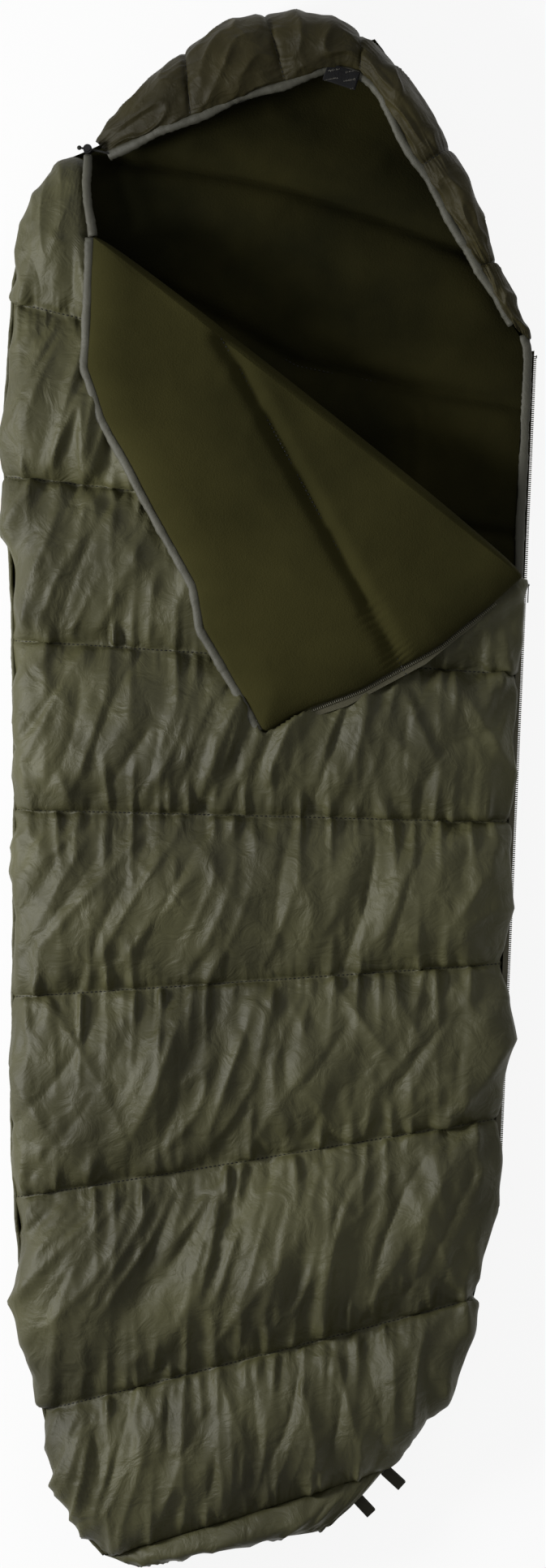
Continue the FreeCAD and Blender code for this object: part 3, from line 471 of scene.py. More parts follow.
def fine_places(places):
    """The channel and share of each row once a mesh is twice as fine."""
    channels = []
    shares = []
    for (channel, share), (next_channel, next_share) in zip(places, places[1:]):
        channels += [channel, channel]
        end = 1.0 if next_channel != channel else next_share
        shares += [share, (share + end) / 2]
    return channels + [places[-1][0]], shares + [places[-1][1]]


def remade(sheet, grid):
    """Gives a sheet the points of a finer grid, under its own name and cloth."""
    old = sheet.data
    name = sheet.name
    material = old.materials[0]
    bpy.data.objects.remove(sheet)
    bpy.data.meshes.remove(old)
    return cloth_object(name, grid.reshape(-1, 3), grid.shape[1], material)


channels, shares = fine_places(front_places)
openings = [before_opening(*row_ends(front_rows, channel, share))
            for channel, share in zip(channels, shares)]
front_grid = finer(front_cover, front_columns)
front_grid = crumpled(front_grid, front_relief(front_grid, channels, shares, openings))
front_cover = remade(front_cover, front_grid)
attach(front_cover, "bag")
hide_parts("front_shell", *["front_fill_%d" % number for number in range(1, 9)])

# Inside, a matt brushed fleece hangs in shallow swags between the rows of stitching, a little
# below the satin, and ends at the same fold.
fleece = cloth("olive_fleece", (0.020, 0.0185, 0.0046), (0.034, 0.031, 0.0085),
               roughness=0.95, crumple=0.12, nap=0.6, gloss=0.1)
inside_columns = 41
inside_spacing = 0.02
inside_most_turn = 0.4
inside_top = 0.069
inside_start = 0.006
inside_turn = 0.07
swag_rise = 0.006
inside_rise = 0.010


def front_inside_point(channel, share, step):
    left, right = row_ends(front_rows, channel, share)
    reach = before_opening(left, right)
    span = right - left
    whole = span.length
    run = max(inside_start, min(step * reach * whole, whole - inside_start))
    near = min(run, whole - run) - inside_start
    turn = min(inside_turn, inside_most_turn * whole)
    side = math.sqrt(1 - (1 - min(near / turn, 1)) ** 2)
    swag = swag_rise * (1 - channel_puff(share))
    fall = inside_rise * (2 * run / whole - 1) ** 2
    height = seam_level + (inside_top + swag - seam_level - fall) * side
    place = left + span * (run / whole)
    return (place.x, place.y, height)


inside_places = quilt_places(front_rows, inside_spacing)[0]
front_inside = cloth_object(
    "front_inside", [front_inside_point(channel, share, column / (inside_columns - 1))
                     for channel, share in inside_places for column in range(inside_columns)],
    inside_columns, fleece)
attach(front_inside, "bag")
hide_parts("front_lining")

# ---------------------------------------------------------------- the stitching
# Each channel is closed by one row of lockstitch in dark thread, sewn through the whole quilt,
# so that the stitches lie at the bottom of a valley. The thread's near-black colour is partly its
# own and partly painted shade for that valley.
thread = cloth("thread_darkened_for_valley_shade", (0.004, 0.004, 0.0025), (0.009, 0.0085, 0.005), roughness=0.7,
               nap=0.4)
stitch_pitch = 0.0065
stitch_length = 0.0042
thread_radius = 0.0009
stitch_rise = 0.0006


def along_path(path, spacing):
    """Points at an even spacing on a path, each with the path's direction there."""
    path = [Vector(point) for point in path]
    found = []
    carry = 0.0
    for start, end in zip(path, path[1:]):
        length = (end - start).length
        if length < 1e-9:
            continue
        heading = (end - start) / length
        while carry < length:
            found.append((start + heading * carry, heading))
            carry += spacing
        carry -= length
    return found


def sewn_row(name, path, body):
    """A row of single stitches on a path, each a short bar with tapered ends."""
    points = []
    faces = []
    up = Vector((0, 0, stitch_rise))
    for place, heading in along_path(path, stitch_pitch):
        side = heading.cross(Vector((0, 0, 1))).normalized() * thread_radius
        reach = heading * stitch_length / 2
        near, far = place - reach * 0.5, place + reach * 0.5
        base = len(points)
        points += [place - reach, near + side + up, far + side + up, place + reach,
                   far - side + up, near - side + up, near + up * 1.8, far + up * 1.8]
        faces += [[base + corner for corner in face] for face in
                  ((0, 1, 6), (0, 6, 5), (1, 2, 7, 6), (5, 6, 7, 4), (2, 3, 7), (3, 4, 7))]
    row = made(name, points, faces, thread, smooth=False)
    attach(row, body)


for number, row in enumerate(front_stitched[1:-1], start=1):
    sewn_row("front_stitching_%d" % number, front_grid[2 * row], "bag")

# ---------------------------------------------------------------- the folded-down flap
# The top of the front is turned down over the chest along a slanting fold, with its fleece
# upwards. A hem binds its free edge and half of the zip runs up its other edge.
fold_line = fold_right - fold_left
fold_length = fold_line.length
fold_along = fold_line.normalized()
fold_away = Vector((fold_along.y, -fold_along.x))
flap_hem_shares = [(0.0, 0.0), (0.012, 0.017), (0.139, 0.193), (0.218, 0.245), (0.398, 0.322),
                   (0.543, 0.383), (0.600, 0.436), (0.751, 0.494), (0.806, 0.517)]
flap_zip_shares = [(0.806, 0.517), (0.845, 0.429), (0.897, 0.341), (0.961, 0.187),
                   (0.990, 0.060), (1.0, 0.0)]
quilt_line_shares = [(0.30, 0.0), (0.365, 0.024), (0.886, 0.246), (0.955, 0.275)]
flap_floor = 0.1066
flap_rim = 0.1115
flap_swell = 0.021
flap_wave = 0.0070
flap_round = 0.055
groove_depth, groove_width = 0.012, 0.013
flap_columns = 91
flap_rows = 61


def on_flap(share, reach):
    """A place on the flap from shares of the fold's length, along the fold and away from it."""
    return fold_left + fold_along * share * fold_length + fold_away * reach * fold_length


def distance_to(place, path):
    nearest = 1.0
    for start, end in zip(path, path[1:]):
        edge = end - start
        along = min(max((place - start).dot(edge) / edge.length_squared, 0), 1)
        nearest = min(nearest, (place - start - edge * along).length)
    return nearest


flap_edge_shares = flap_hem_shares + flap_zip_shares[1:]
flap_edge = [on_flap(share, reach) for share, reach in flap_edge_shares]
quilt_line = [on_flap(share, reach) for share, reach in quilt_line_shares]


def flap_reach(share):
    return float(np.interp(share, [along for along, reach in flap_edge_shares],
                           [reach for along, reach in flap_edge_shares]))


def flap_height(place):
    """The lining's height: round at the edges, drawn down along the row of quilting."""
    edge = min(distance_to(place, flap_edge) / flap_round, 1)
    quilted = math.exp(-(distance_to(place, quilt_line) / groove_width) ** 2)
    wave = flap_wave * noise.noise(Vector((place.x * 6, place.y * 6, 3)))
    return flap_rim + (flap_swell - groove_depth * quilted + wave) * math.sqrt(1 - (1 - edge) ** 2)


def flap_grid(height_at):
    """The flap's points in rows from the fold to its edge, closer together near its ends."""
    points = []
    for row in range(flap_rows):
        for column in range(flap_columns):
            share = 0.5 - 0.5 * math.cos(math.pi * column / (flap_columns - 1))
            place = on_flap(share, flap_reach(share) * row / (flap_rows - 1))
            points.append((place.x, place.y, height_at(place)))
    return points


def flap_rim_points():
    held = [row * flap_columns + column for row in range(flap_rows)
            for column in (0, flap_columns - 1)]
    return held + list(range(flap_columns)) + list(
        range((flap_rows - 1) * flap_columns, flap_rows * flap_columns))


flap_top = cloth_object("flap_lining_top", flap_grid(flap_height), flap_columns, fleece)
sewn_width = 0.004
quilted_points = [index for index, vertex in enumerate(flap_top.data.vertices)
                  if distance_to(vertex.co.xy, quilt_line) < sewn_width]
blow_up(flap_top, flap_rim_points() + quilted_points, pressure=2.0, frames=12, most=0.006)
fine_flap = finer(flap_top, flap_columns)
fleece_lumps = 0.0022
quilt_gathers, gather_reach = 0.0030, 0.05
plain_rows = 8
fleece_relief = np.array([[fleece_lumps * noise.noise(Vector((x * 11, y * 11, 8)))
                           + quilt_gathers * ridges(x * 9 + y * 4, y * 9 - x * 5, 2)
                           * math.exp(-distance_to(Vector((x, y)), quilt_line) / gather_reach)
                           for x, y, z in line] for line in fine_flap])
fleece_relief *= np.minimum(1, np.arange(fine_flap.shape[0]) / plain_rows)[:, None]
fine_flap = crumpled(fine_flap, fleece_relief)
flap_top = remade(flap_top, fine_flap)
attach(flap_top, "flap")
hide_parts("flap_lining", "flap_fill_1", "flap_fill_2")

# Its weight presses the front flat beneath it, and its own satin lies on the front's.
pressed_gap = 0.0006
for point in front_cover.data.vertices:
    from_fold = point.co.xy - fold_left
    share = from_fold.dot(fold_along) / fold_length
    reach = from_fold.dot(fold_away) / fold_length
    if 0 < share < 1 and 0 < reach < flap_reach(share):
        point.co.z = min(point.co.z, flap_floor - pressed_gap)

under_rise, under_fall = 0.0045, 0.0035
under_round = 0.03
under_tuck, tuck_width = 0.002, 0.012


def flap_under_height(place):
    """The satin's height: flat on the front, with creases, a little higher at the quilting."""
    tucked = under_tuck * math.exp(-(distance_to(place, quilt_line) / tuck_width) ** 2)
    edge = min(distance_to(place, flap_edge) / under_round, 1)
    crease = 0.0050 * ridges(place.x * 17 + place.y * 5, place.y * 4 - place.x * 3, 6)
    crease += 0.0040 * ridges(place.x * 9 - place.y * 21, place.x * 5 + place.y * 3, 16)
    crease += 0.0035 * ridges(place.x * 33 + place.y * 8, place.y * 6, 26)
    return flap_floor + (under_rise - under_fall * edge + tucked + crease * edge)


flap_under = cloth_object("flap_underside", flap_grid(flap_under_height), flap_columns, satin)
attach(flap_under, "flap")
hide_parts("flap_shell")
flap_stitches = [(*place.xy, flap_height(place.xy) + 0.0004) for place, heading in
                 along_path([(*spot, 0) for spot in quilt_line], 0.01)]
sewn_row("flap_stitching", flap_stitches, "flap")

# The fleece runs on round the fold, from the flap's top down to the inside of the front.
ridge_columns = 61
ridge_steps = 10
ridge_bulge = 0.016
ridge_points = []
for step in range(ridge_steps + 1):
    turn = math.pi * step / ridge_steps
    for column in range(ridge_columns):
        share = 0.5 - 0.5 * math.cos(math.pi * column / (ridge_columns - 1))
        spot = on_flap(share, 0)
        upper = flap_height(spot)
        middle = (upper + inside_top) / 2
        out = ridge_bulge * math.sin(turn) * math.sin(math.pi * share) ** 0.3
        place = spot - fold_away * out
        ridge_points.append((place.x, place.y,
                             middle + (upper - inside_top) / 2 * math.cos(turn)))
fold_ridge = cloth_object("fold_of_lining", ridge_points, ridge_columns, fleece)
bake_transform(fold_ridge)

# ---------------------------------------------------------------- the hems
# A paler binding tape is rolled over every free edge and sewn down, which gathers it into
# small puckers. The hood's is wider, because the drawcord runs in it.
binding = cloth("pale_binding", (0.048, 0.047, 0.034), (0.088, 0.086, 0.064), roughness=0.55,
                weave=0.3, crumple=0.5)
hem_pitch = 0.0045
hem_around = 12
hem_sway = 0.0016
hem_lift = 0.0005


def rolled_hem(name, path, wide, tall, body, node, material=binding):
    """A padded roll of tape on a path, gathered unevenly along its length."""
    points = []
    for place, heading in along_path(path, hem_pitch):
        side = heading.cross(Vector((0, 0, 1))).normalized()
        up = side.cross(heading).normalized()
        spot = place * 60
        swell = 1 + 0.10 * noise.noise(spot * 0.6) + 0.16 * (ridges(*(spot * 1.7)) - 0.3)
        sway = side * hem_sway * noise.noise(place * 24)
        for step in range(hem_around):
            turn = 2 * math.pi * step / hem_around
            points.append(place + sway + side * math.cos(turn) * wide * swell
                          + up * math.sin(turn) * tall * swell)
    roll = cloth_object(name, points, hem_around, material, closed=True, capped=True)
    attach(roll, body)
    if node:
        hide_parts(node)


hem_out_along, hem_out_away = 0.0028, 0.0030
flap_hem_path = [on_flap(share, reach) - fold_along * hem_out_along + fold_away * hem_out_away
                 for share, reach in flap_hem_shares]
rolled_hem("flap_hem_roll", [(*spot, flap_rim + hem_lift) for spot in flap_hem_path],
           wide=0.0072, tall=0.0052, body="flap", node="flap_hem")
front_edge = [(hood_corner.x, hood_corner.y, 0.082), (-0.2735, 0.880, 0.094),
              (-0.2690, 0.840, 0.104), (fold_left.x, fold_left.y, 0.1075)]
rolled_hem("front_hem_roll", front_edge, wide=0.0066, tall=0.0050, body="bag",
           node="front_hem")
side_path = [(edge_at(left_edge, y) - hem_lift, y, seam_level)
             for y in np.linspace(-0.99 * half_length, 0.80 * half_length, 60)]
rolled_hem("left_side_seam", side_path, wide=0.0030, tall=0.0022, body="bag", node=None,
           material=satin)

# ---------------------------------------------------------------- the back
# The back lies on the floor, so its underside is pressed flat between the rows of stitching
# and its sides swell up to the seam. The hood's own back panel is sewn on at the neck.
back_rows = [(0.972, 0.956), (0.900, 0.840), (0.804, 0.690), (0.705, 0.482), (0.394, 0.317),
             (0.184, 0.140), (-0.033, -0.049), (-0.273, -0.230), (-0.530, -0.429),
             (-0.802, -0.659), (-0.990, -0.878)]
unsewn_row = 1
back_columns = 81
back_spacing = 0.014
ground = 0.0006
left_hood_foot, right_hood_foot = 0.925, 0.66
drawn_under, drawn_over = 0.016, 0.03
back_turn = 0.048
back_tuck = 0.006
crown_tuck = 0.01
back_wave = 0.0010
back_bulge = 0.008


def inside_hood(left, right):
    """Draws the ends of a row in under the hood's swelling foot."""
    heading = (right - left).normalized()
    drawn = [drawn_under * min(max((end.y - foot) / drawn_over, 0), 1)
             for end, foot in ((left, left_hood_foot), (right, right_hood_foot))]
    return left + heading * drawn[0], right - heading * drawn[1]


def back_point(channel, share, step):
    """A point of the back: on the floor, tucked up at the stitching, turned up to the seam."""
    left, right = row_ends(back_rows, channel, share)
    puff = channel_puff((share + channel) / 2 if channel <= unsewn_row else share)
    left, right = inside_hood(left, right)
    span = right - left
    run = span.length * (0.5 - 0.5 * math.cos(math.pi * step))
    turn = min(back_turn, inside_most_turn * span.length)
    near = min(min(run, span.length - run) / turn, 1)
    side = math.sqrt(1 - (1 - near) ** 2)
    tuck = ground + back_tuck * (1 - puff) if channel + share > 0 else crown_tuck
    wave = back_wave * ridges(left.y * 23, run * 15, channel) * side
    place = left + span * (run / span.length)
    lean = back_bulge * (puff - 0.4) * math.sin(math.pi * near ** 0.5)
    place += span.normalized() * (lean if run > span.length / 2 else -lean)
    return (place.x, place.y, seam_level - (seam_level - tuck - wave) * side)


back_places = quilt_places(back_rows, back_spacing)[0]
back_cover = cloth_object(
    "back_cover", [back_point(channel, share, column / (back_columns - 1))
                   for channel, share in back_places for column in range(back_columns)],
    back_columns, satin)
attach(back_cover, "bag")
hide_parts("back_shell", "hood_back_shell", "hood_back_fill",
            *["back_fill_%d" % number for number in range(1, 9)])

# The fleece of the back shows in the mouth: two soft channels, the seam at the chest, the
# seam at the neck where the hood's lining joins, and a crease left by packing.
# This fleece is a darker copy of the flap's, painted shade for the inside of the bag's mouth and
# of the hood.
fleece_darkened_as_painted_shade = cloth("fleece_darkened_as_painted_shade", (0.0075, 0.0074, 0.0026), (0.0190, 0.0172, 0.0052),
                      roughness=0.95, crumple=0.12, nap=0.6, gloss=0.05)
neck_seam = [Vector(spot) for spot in
             ((-0.300, 0.935), (-0.180, 0.918), (-0.060, 0.903), (0.008, 0.889), (0.140, 0.845),
              (0.280, 0.793), (0.340, 0.760))]
chest_seam = [Vector(spot) for spot in
              ((-0.380, 0.830), (-0.221, 0.757), (-0.090, 0.690), (0.035, 0.619), (0.180, 0.590),
               (0.362, 0.562), (0.395, 0.556))]
crease = [Vector((0.213, 0.555)), Vector((0.216, 0.490)), Vector((0.211, 0.420))]
lining_rows = [(0.962, 0.944)] + back_rows[1:]
lining_columns = 81
lining_spacing = 0.008
lining_level = 0.041
lining_inset = 0.008
lining_turn = 0.05
last_open_channel = 3
seam_depth, seam_width = 0.012, 0.012
pad_rise, pad_away, pad_width = 0.008, 0.05, 0.04
row_depth, row_width = 0.010, 0.05
crease_rise, crease_width = 0.006, 0.006
lining_waves, lining_folds = 0.004, 0.003


def lining_point(channel, share, step):
    """A point of the back's fleece, drawn down at each seam and puffed beside it."""
    left, right = inside_hood(*row_ends(lining_rows, channel, share))
    span = right - left
    run = lining_inset + (span.length - 2 * lining_inset) * step
    place = left + span * (run / span.length)
    turn = min(lining_turn, inside_most_turn * span.length)
    near = min(min(run, span.length - run) / turn, 1)
    height = lining_level
    if channel <= last_open_channel:
        for seam in (neck_seam, chest_seam):
            away = distance_to(place, seam)
            height -= seam_depth * math.exp(-(away / seam_width) ** 2)
            height += pad_rise * math.exp(-((away - pad_away) / pad_width) ** 2)
    if channel >= last_open_channel:
        from_row = share + 0.6 if channel == last_open_channel else share
        height -= row_depth * math.exp(-(min(from_row, 1 - share) / row_width) ** 2)
    height += crease_rise * math.exp(-(distance_to(place, crease) / crease_width) ** 2)
    height += lining_waves * noise.noise(Vector((place.x * 6, place.y * 6, 1)))
    height += lining_folds * ridges(place.x * 6 + place.y * 3, place.y * 6 - place.x * 4, 4)
    rim = seam_level - 0.002
    return (place.x, place.y, rim - (rim - height) * math.sqrt(1 - (1 - near) ** 2))


lining_places = quilt_places(lining_rows, lining_spacing)[0]
back_inside = cloth_object(
    "back_inside", [lining_point(channel, share, column / (lining_columns - 1))
                    for channel, share in lining_places for column in range(lining_columns)],
    lining_columns, fleece_darkened_as_painted_shade)
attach(back_inside, "bag")
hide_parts("back_lining", "hood_back_lining")
sewn_level = lining_level - 0.0105
for name, seam in (("neck_stitching", neck_seam), ("chest_stitching", chest_seam)):
    sewn_row(name, [(*spot, sewn_level) for spot in seam[1:-1]], "bag")

# ---------------------------------------------------------------- the hood
# Six wedge-shaped baffles run from the seam with the back up over the crown to the mouth, and
# the stitching between them draws the satin in. The fleece hangs inside as a low dome.
hood_satin = cloth("brown_olive_satin", (0.018, 0.0152, 0.0052), (0.042, 0.0355, 0.0125),
                   roughness=0.56, weave=0.18, crumple=0.85, gloss=0.16)
crown_seams = [
    ((-0.660, 0.826), (-0.617, 0.806), 0.52, 1.00), ((-0.327, 0.937), (-0.305, 0.849), 0.92, 0.86),
    ((-0.033, 0.984), (0.043, 0.893), 1.00, 0.83), ((0.322, 0.958), (0.320, 0.905), 1.00, 0.83),
    ((0.655, 0.813), (0.552, 0.787), 0.84, 0.84), ((0.826, 0.669), (0.766, 0.663), 0.62, 0.90),
    ((0.957, 0.570), (0.907, 0.584), 0.46, 0.92)]
crown_height = 0.138
baffle_steps = 20
crown_rows = 41
crown_columns = baffle_steps * (len(crown_seams) - 1) + 1
crown_draw = 0.012
crown_puff = 0.002
foot_bulge, foot_pinch = 0.010, 0.002


def smooth_between(values, place):
    """A smooth value part of the way along a list of numbers, through each of them."""
    first = min(int(place), len(values) - 2)
    share = place - first
    near, far = values[first], values[first + 1]
    before = values[max(first - 1, 0)]
    after = values[min(first + 2, len(values) - 1)]
    return (near + 0.5 * share * (far - before + share * (
        2 * before - 5 * near + 4 * far - after + share * (3 * (near - far) + after - before))))


def crown_shape(place):
    """The foot and lip of the crown at a place along it, and the heights of crest and lip."""
    foot = Vector((half_width * smooth_between([seam[0][0] for seam in crown_seams], place),
                   half_length * smooth_between([seam[0][1] for seam in crown_seams], place)))
    lip = Vector((half_width * smooth_between([seam[1][0] for seam in crown_seams], place),
                  half_length * smooth_between([seam[1][1] for seam in crown_seams], place)))
    crest = crown_height * smooth_between([seam[2] for seam in crown_seams], place)
    return foot, lip, crest, crest * smooth_between([seam[3] for seam in crown_seams], place)


def baffle_puff(place):
    """How far a place along the crown is puffed, 0 at a seam and 1 midway between two."""
    return abs(math.sin(math.pi * place)) ** 0.55


def crown_point(place, share):
    """A point of the satin on its way over the crown, drawn in at the seams."""
    foot, lip, crest, lip_height = crown_shape(place)
    puff = baffle_puff(place)
    turn = math.pi * share
    rise = math.sin(turn)
    drawn_in = crown_draw * (1 - puff) * rise ** 0.5
    crest = crest - drawn_in + crown_puff * puff
    across = (lip - foot).normalized()
    bulge = foot_bulge * puff - foot_pinch
    out = foot - across * bulge * max(0.0, math.cos(turn)) * rise ** 0.4
    spot = out.lerp(lip, 0.5 - 0.5 * math.cos(turn))
    low = seam_level if share < 0.5 else lip_height
    return (spot.x, spot.y, low + (crest - low) * rise)


hood_cover = cloth_object(
    "hood_cover", [crown_point(column / baffle_steps, row / (crown_rows - 1))
                   for row in range(crown_rows) for column in range(crown_columns)],
    crown_columns, hood_satin)
crown_held = [row * crown_columns + column for row in range(crown_rows)
              for column in range(0, crown_columns, baffle_steps)]
crown_held += list(range(crown_columns))
crown_held += list(range((crown_rows - 1) * crown_columns, crown_rows * crown_columns))
blow_up(hood_cover, crown_held, pressure=3.0, frames=12, most=0.006)
fine_crown = finer(hood_cover, crown_columns)
crown_folds = 0.0065
seam_gathers, seam_reach = 0.0050, 0.35
lip_gathers, lip_reach = 0.0035, 0.15
crown_crumples = 0.0012
crown_relief = np.zeros(fine_crown.shape[:2])
for row in range(fine_crown.shape[0]):
    share = row / (fine_crown.shape[0] - 1)
    for column in range(fine_crown.shape[1]):
        place = column / (2 * baffle_steps)
        apart = abs(math.sin(math.pi * place))
        x, y, z = fine_crown[row, column]
        crown_relief[row, column] = math.sin(math.pi * share) ** 0.3 * (
            crown_folds * apart ** 0.5 * ridges(place * 2.6, share * 3.4 + place, 3)
            + seam_gathers * math.exp(-apart / seam_reach) * apart ** 0.3
            * ridges(place * 2, share * 11, 7)
            + lip_gathers * math.exp(-(1 - share) / lip_reach) * ridges(place * 9, share * 2, 5)
            + crown_crumples * noise.noise(Vector((x * 40, y * 40, z * 40))))
fine_crown = crumpled(fine_crown, crown_relief)
hood_cover = remade(hood_cover, fine_crown)
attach(hood_cover, "bag")
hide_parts("hood_shell", *["hood_fill_%d" % number for number in range(1, 7)])
unsewn_ends = 4
for number in range(1, len(crown_seams) - 1):
    sewn_row("hood_stitching_%d" % number,
             fine_crown[unsewn_ends:-unsewn_ends, 2 * number * baffle_steps], "bag")

# Below the seam at its foot, the hood's side turns in under the bag, down to the floor.
side_rows = 13
side_tuck = 0.050
side_puff = 0.008
side_folds = 0.0035
side_end = 0.0015
crown_middle = Vector((0.02, 0.90))


def hood_side_point(place, share):
    foot = crown_shape(place)[0]
    turn = 0.5 * math.pi * share
    inward = (crown_middle - foot).normalized()
    puff = side_puff * baffle_puff(place) * math.sin(2 * turn)
    fold = side_folds * ridges(place * 3.3, share * 1.5, 17) * math.sin(math.pi * share)
    spot = foot + inward * (side_tuck * (1 - math.cos(turn)) - puff)
    spot -= inward * fold
    return (spot.x, spot.y, seam_level - (seam_level - side_end) * math.sin(turn))


hood_side = cloth_object(
    "hood_side", [hood_side_point(column / baffle_steps, row / (side_rows - 1))
                  for row in range(side_rows) for column in range(crown_columns)],
    crown_columns, hood_satin)
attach(hood_side, "bag")

# The fleece inside hangs from the lip down to the back's.
dome_rows = 25
dome_reach = 0.90
dome_waves = 0.0022
dome_seams = 0.004
lip_fall = 0.004


def dome_point(place, share):
    foot, lip, crest, lip_height = crown_shape(place)
    spot = lip.lerp(foot, dome_reach * math.sin(0.5 * math.pi * share))
    wave = dome_waves * noise.noise(Vector((spot.x * 9, spot.y * 9, share * 3)))
    seam = dome_seams * (1 - abs(math.sin(math.pi * place)) ** 0.5)
    drop = lip_height - lip_fall - lining_level
    return (spot.x, spot.y, lining_level + drop * math.cos(0.5 * math.pi * share) ** 0.7
            + (wave - seam) * math.sin(math.pi * share))


# It uses the darker copy of the fleece, painted shade for the inside of the hood.
hood_inside = cloth_object(
    "hood_inside", [dome_point(column / baffle_steps, row / (dome_rows - 1))
                    for row in range(dome_rows) for column in range(crown_columns)],
    crown_columns, fleece_darkened_as_painted_shade)
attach(hood_inside, "bag")
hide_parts("hood_lining")

# Its hem runs along the lip from corner to corner. The same tape binds the back's right edge
# beside the open zip, from the hood down to the fold.
hem_start, hem_run = 0.03, 5.93
hem_steps = 120
hem_in, hem_wander = 0.004, 0.005
hem_path = []
for step in range(hem_steps + 1):
    place = hem_start + hem_run * step / hem_steps
    foot, lip, crest, lip_height = crown_shape(place)
    wander = hem_wander * noise.noise(Vector((place * 2.3, 0, 6)))
    spot = lip + (lip - foot).normalized() * (hem_in + wander)
    hem_path.append((spot.x, spot.y, lip_height - hem_lift))
rolled_hem("hood_hem_roll", hem_path, wide=0.0078, tall=0.0060, body="bag", node="hood_hem")
open_zip_from, open_zip_to = 0.30, 0.665
back_edge = [(edge_at(right_edge, y) - 2 * hem_lift, y, seam_level + hem_lift)
             for y in np.linspace(open_zip_from, open_zip_to, 20)]
rolled_hem("back_zip_edge", back_edge, wide=0.0068, tall=0.0034, body="bag", node=None)

# ---------------------------------------------------------------- the foot
# The end of the bag is a gathered panel, sewn to the last channel all round and closed by a
# short seam, so that its folds run in towards that seam.
foot_end_left = Vector((-0.50 * half_width, -1.000 * half_length))
foot_end_right = Vector((0.19 * half_width, -0.955 * half_length))
foot_around = 120
foot_steps = 27
foot_start_left, foot_start_right = row_ends(front_rows, len(front_rows) - 2, 1.0)
foot_narrowing = 0.014
foot_puff, foot_fall = 0.022, 0.004
foot_tuck = 0.0065
panel_gathers, panel_folds = 0.006, 0.004
panel_bulge = 0.012


def foot_point(share, turn):
    """A point of the panel: around it by the turn, and towards its closing seam by the share."""
    left = foot_start_left.lerp(foot_end_left, share)
    right = foot_start_right.lerp(foot_end_right, share)
    heading = (right - left).normalized()
    left = left + heading * foot_narrowing * share * (1 - share)
    middle = (left + right) / 2
    half = (right - left).length / 2
    closing = math.sqrt(max(0.0, 1 - share ** 3.2))
    top = stitch_top - foot_fall * share + foot_puff * math.sin(math.pi * share) ** 0.7
    bottom = foot_tuck * (1 - math.sin(math.pi * min(share * 1.4, 1)) ** 0.5) + ground
    reach = math.copysign(abs(math.cos(turn)) ** 0.62, math.cos(turn))
    lift = math.copysign(abs(math.sin(turn)) ** 0.75, math.sin(turn))
    upper = seam_level + (top - seam_level) * lift * closing
    lower = seam_level + (seam_level - bottom) * lift * closing
    height = upper if lift > 0 else lower
    out = Vector((heading.y, -heading.x))
    gathers = panel_gathers * share * (ridges(turn * 3.1, share * 1.5, 11) - 0.2)
    gathers += panel_folds * (ridges(turn * 5.3, share * 1.2, 15) - 0.3)
    bulge = panel_bulge * math.sin(math.pi * share) * abs(lift)
    place = middle + heading * reach * half + out * bulge
    if lift > 0:
        height += gathers * lift
    place += out * gathers * share
    return (place.x, place.y, max(height, ground))


foot_cover = cloth_object(
    "foot_cover", [foot_point(step / (foot_steps - 1), 2 * math.pi * side / foot_around)
                   for step in range(foot_steps) for side in range(foot_around)],
    foot_around, satin, closed=True)
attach(foot_cover, "bag")
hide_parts("foot_shell", "foot_fill")
rolled_hem("foot_end_seam", [(*foot_end_left, seam_level), (*foot_end_right, seam_level)],
           wide=0.0030, tall=0.0040, body="bag", node=None, material=satin)

# ---------------------------------------------------------------- the zip
# A two-sided coil zip of nylon: each tape carries a row of small loops, which lie shoulder to
# shoulder and lock into the other row below the slider. The slider and the stops are painted.
coil_nylon = bpy.data.materials.new("coil_nylon")
coil_nylon.use_nodes = True
nodes, links = coil_nylon.node_tree.nodes, coil_nylon.node_tree.links
nodes["Principled BSDF"].inputs["Roughness"].default_value = 0.42
coil_shade = nodes.new("ShaderNodeTexNoise")
coil_shade.inputs["Scale"].default_value = 180
coil_tint = nodes.new("ShaderNodeValToRGB")
coil_tint.color_ramp.elements[0].color = (0.075, 0.070, 0.040, 1)
coil_tint.color_ramp.elements[1].color = (0.130, 0.122, 0.078, 1)
links.new(coil_shade.outputs["Fac"], coil_tint.inputs["Fac"])
links.new(coil_tint.outputs["Color"], nodes["Principled BSDF"].inputs["Base Color"])
tooth_pitch = 0.0030
tooth_width = 0.36 * tooth_pitch
tooth_profile = [(-1.0, 0.45), (-0.55, 0.8), (0.35, 0.8), (0.75, 1.0), (1.0, 0.55)]
tooth_sides = 6


def zip_teeth(name, path, reach, thick, body, node):
    """A row of bent loops across a path, each a small rounded bar with a swollen head."""
    points = []
    faces = []
    for place, heading in along_path(path, tooth_pitch):
        side = heading.cross(Vector((0, 0, 1))).normalized()
        base = len(points)
        for out, swell in tooth_profile:
            for corner in range(tooth_sides):
                turn = 2 * math.pi * corner / tooth_sides
                points.append(place + side * out * reach
                              + heading * math.cos(turn) * tooth_width * swell
                              + Vector((0, 0, 1)) * math.sin(turn) * thick * swell)
        for near in range(base, len(points) - tooth_sides, tooth_sides):
            far = near + tooth_sides
            for corner in range(tooth_sides):
                beside = (corner + 1) % tooth_sides
                faces.append((near + corner, near + beside, far + beside, far + corner))
        faces.append(tuple(range(base + tooth_sides - 1, base - 1, -1)))
        faces.append(tuple(range(len(points) - tooth_sides, len(points))))
    row = made(name, points, faces, coil_nylon)
    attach(row, body)
    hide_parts(node)


# The closed part runs straight, leaning a little outwards, through one place on the seam.
zip_slope = math.tan(math.asin(0.043277))
zip_x, zip_y = 0.3359, -0.560
zip_end_gap = 0.002
tooth_reach = 0.0022
for node, name in (("zip_coil_back", "back_teeth"), ("zip_coil_front", "front_teeth")):
    low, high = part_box(node)
    middle_z = (low[2] + high[2]) / 2
    path = [(zip_x + (y - zip_y) * zip_slope, y, middle_z)
            for y in np.linspace(low[1] + zip_end_gap, high[1] - zip_end_gap, 12)]
    zip_teeth(name, path, tooth_reach, (high[2] - low[2]) / 2, "bag", node)

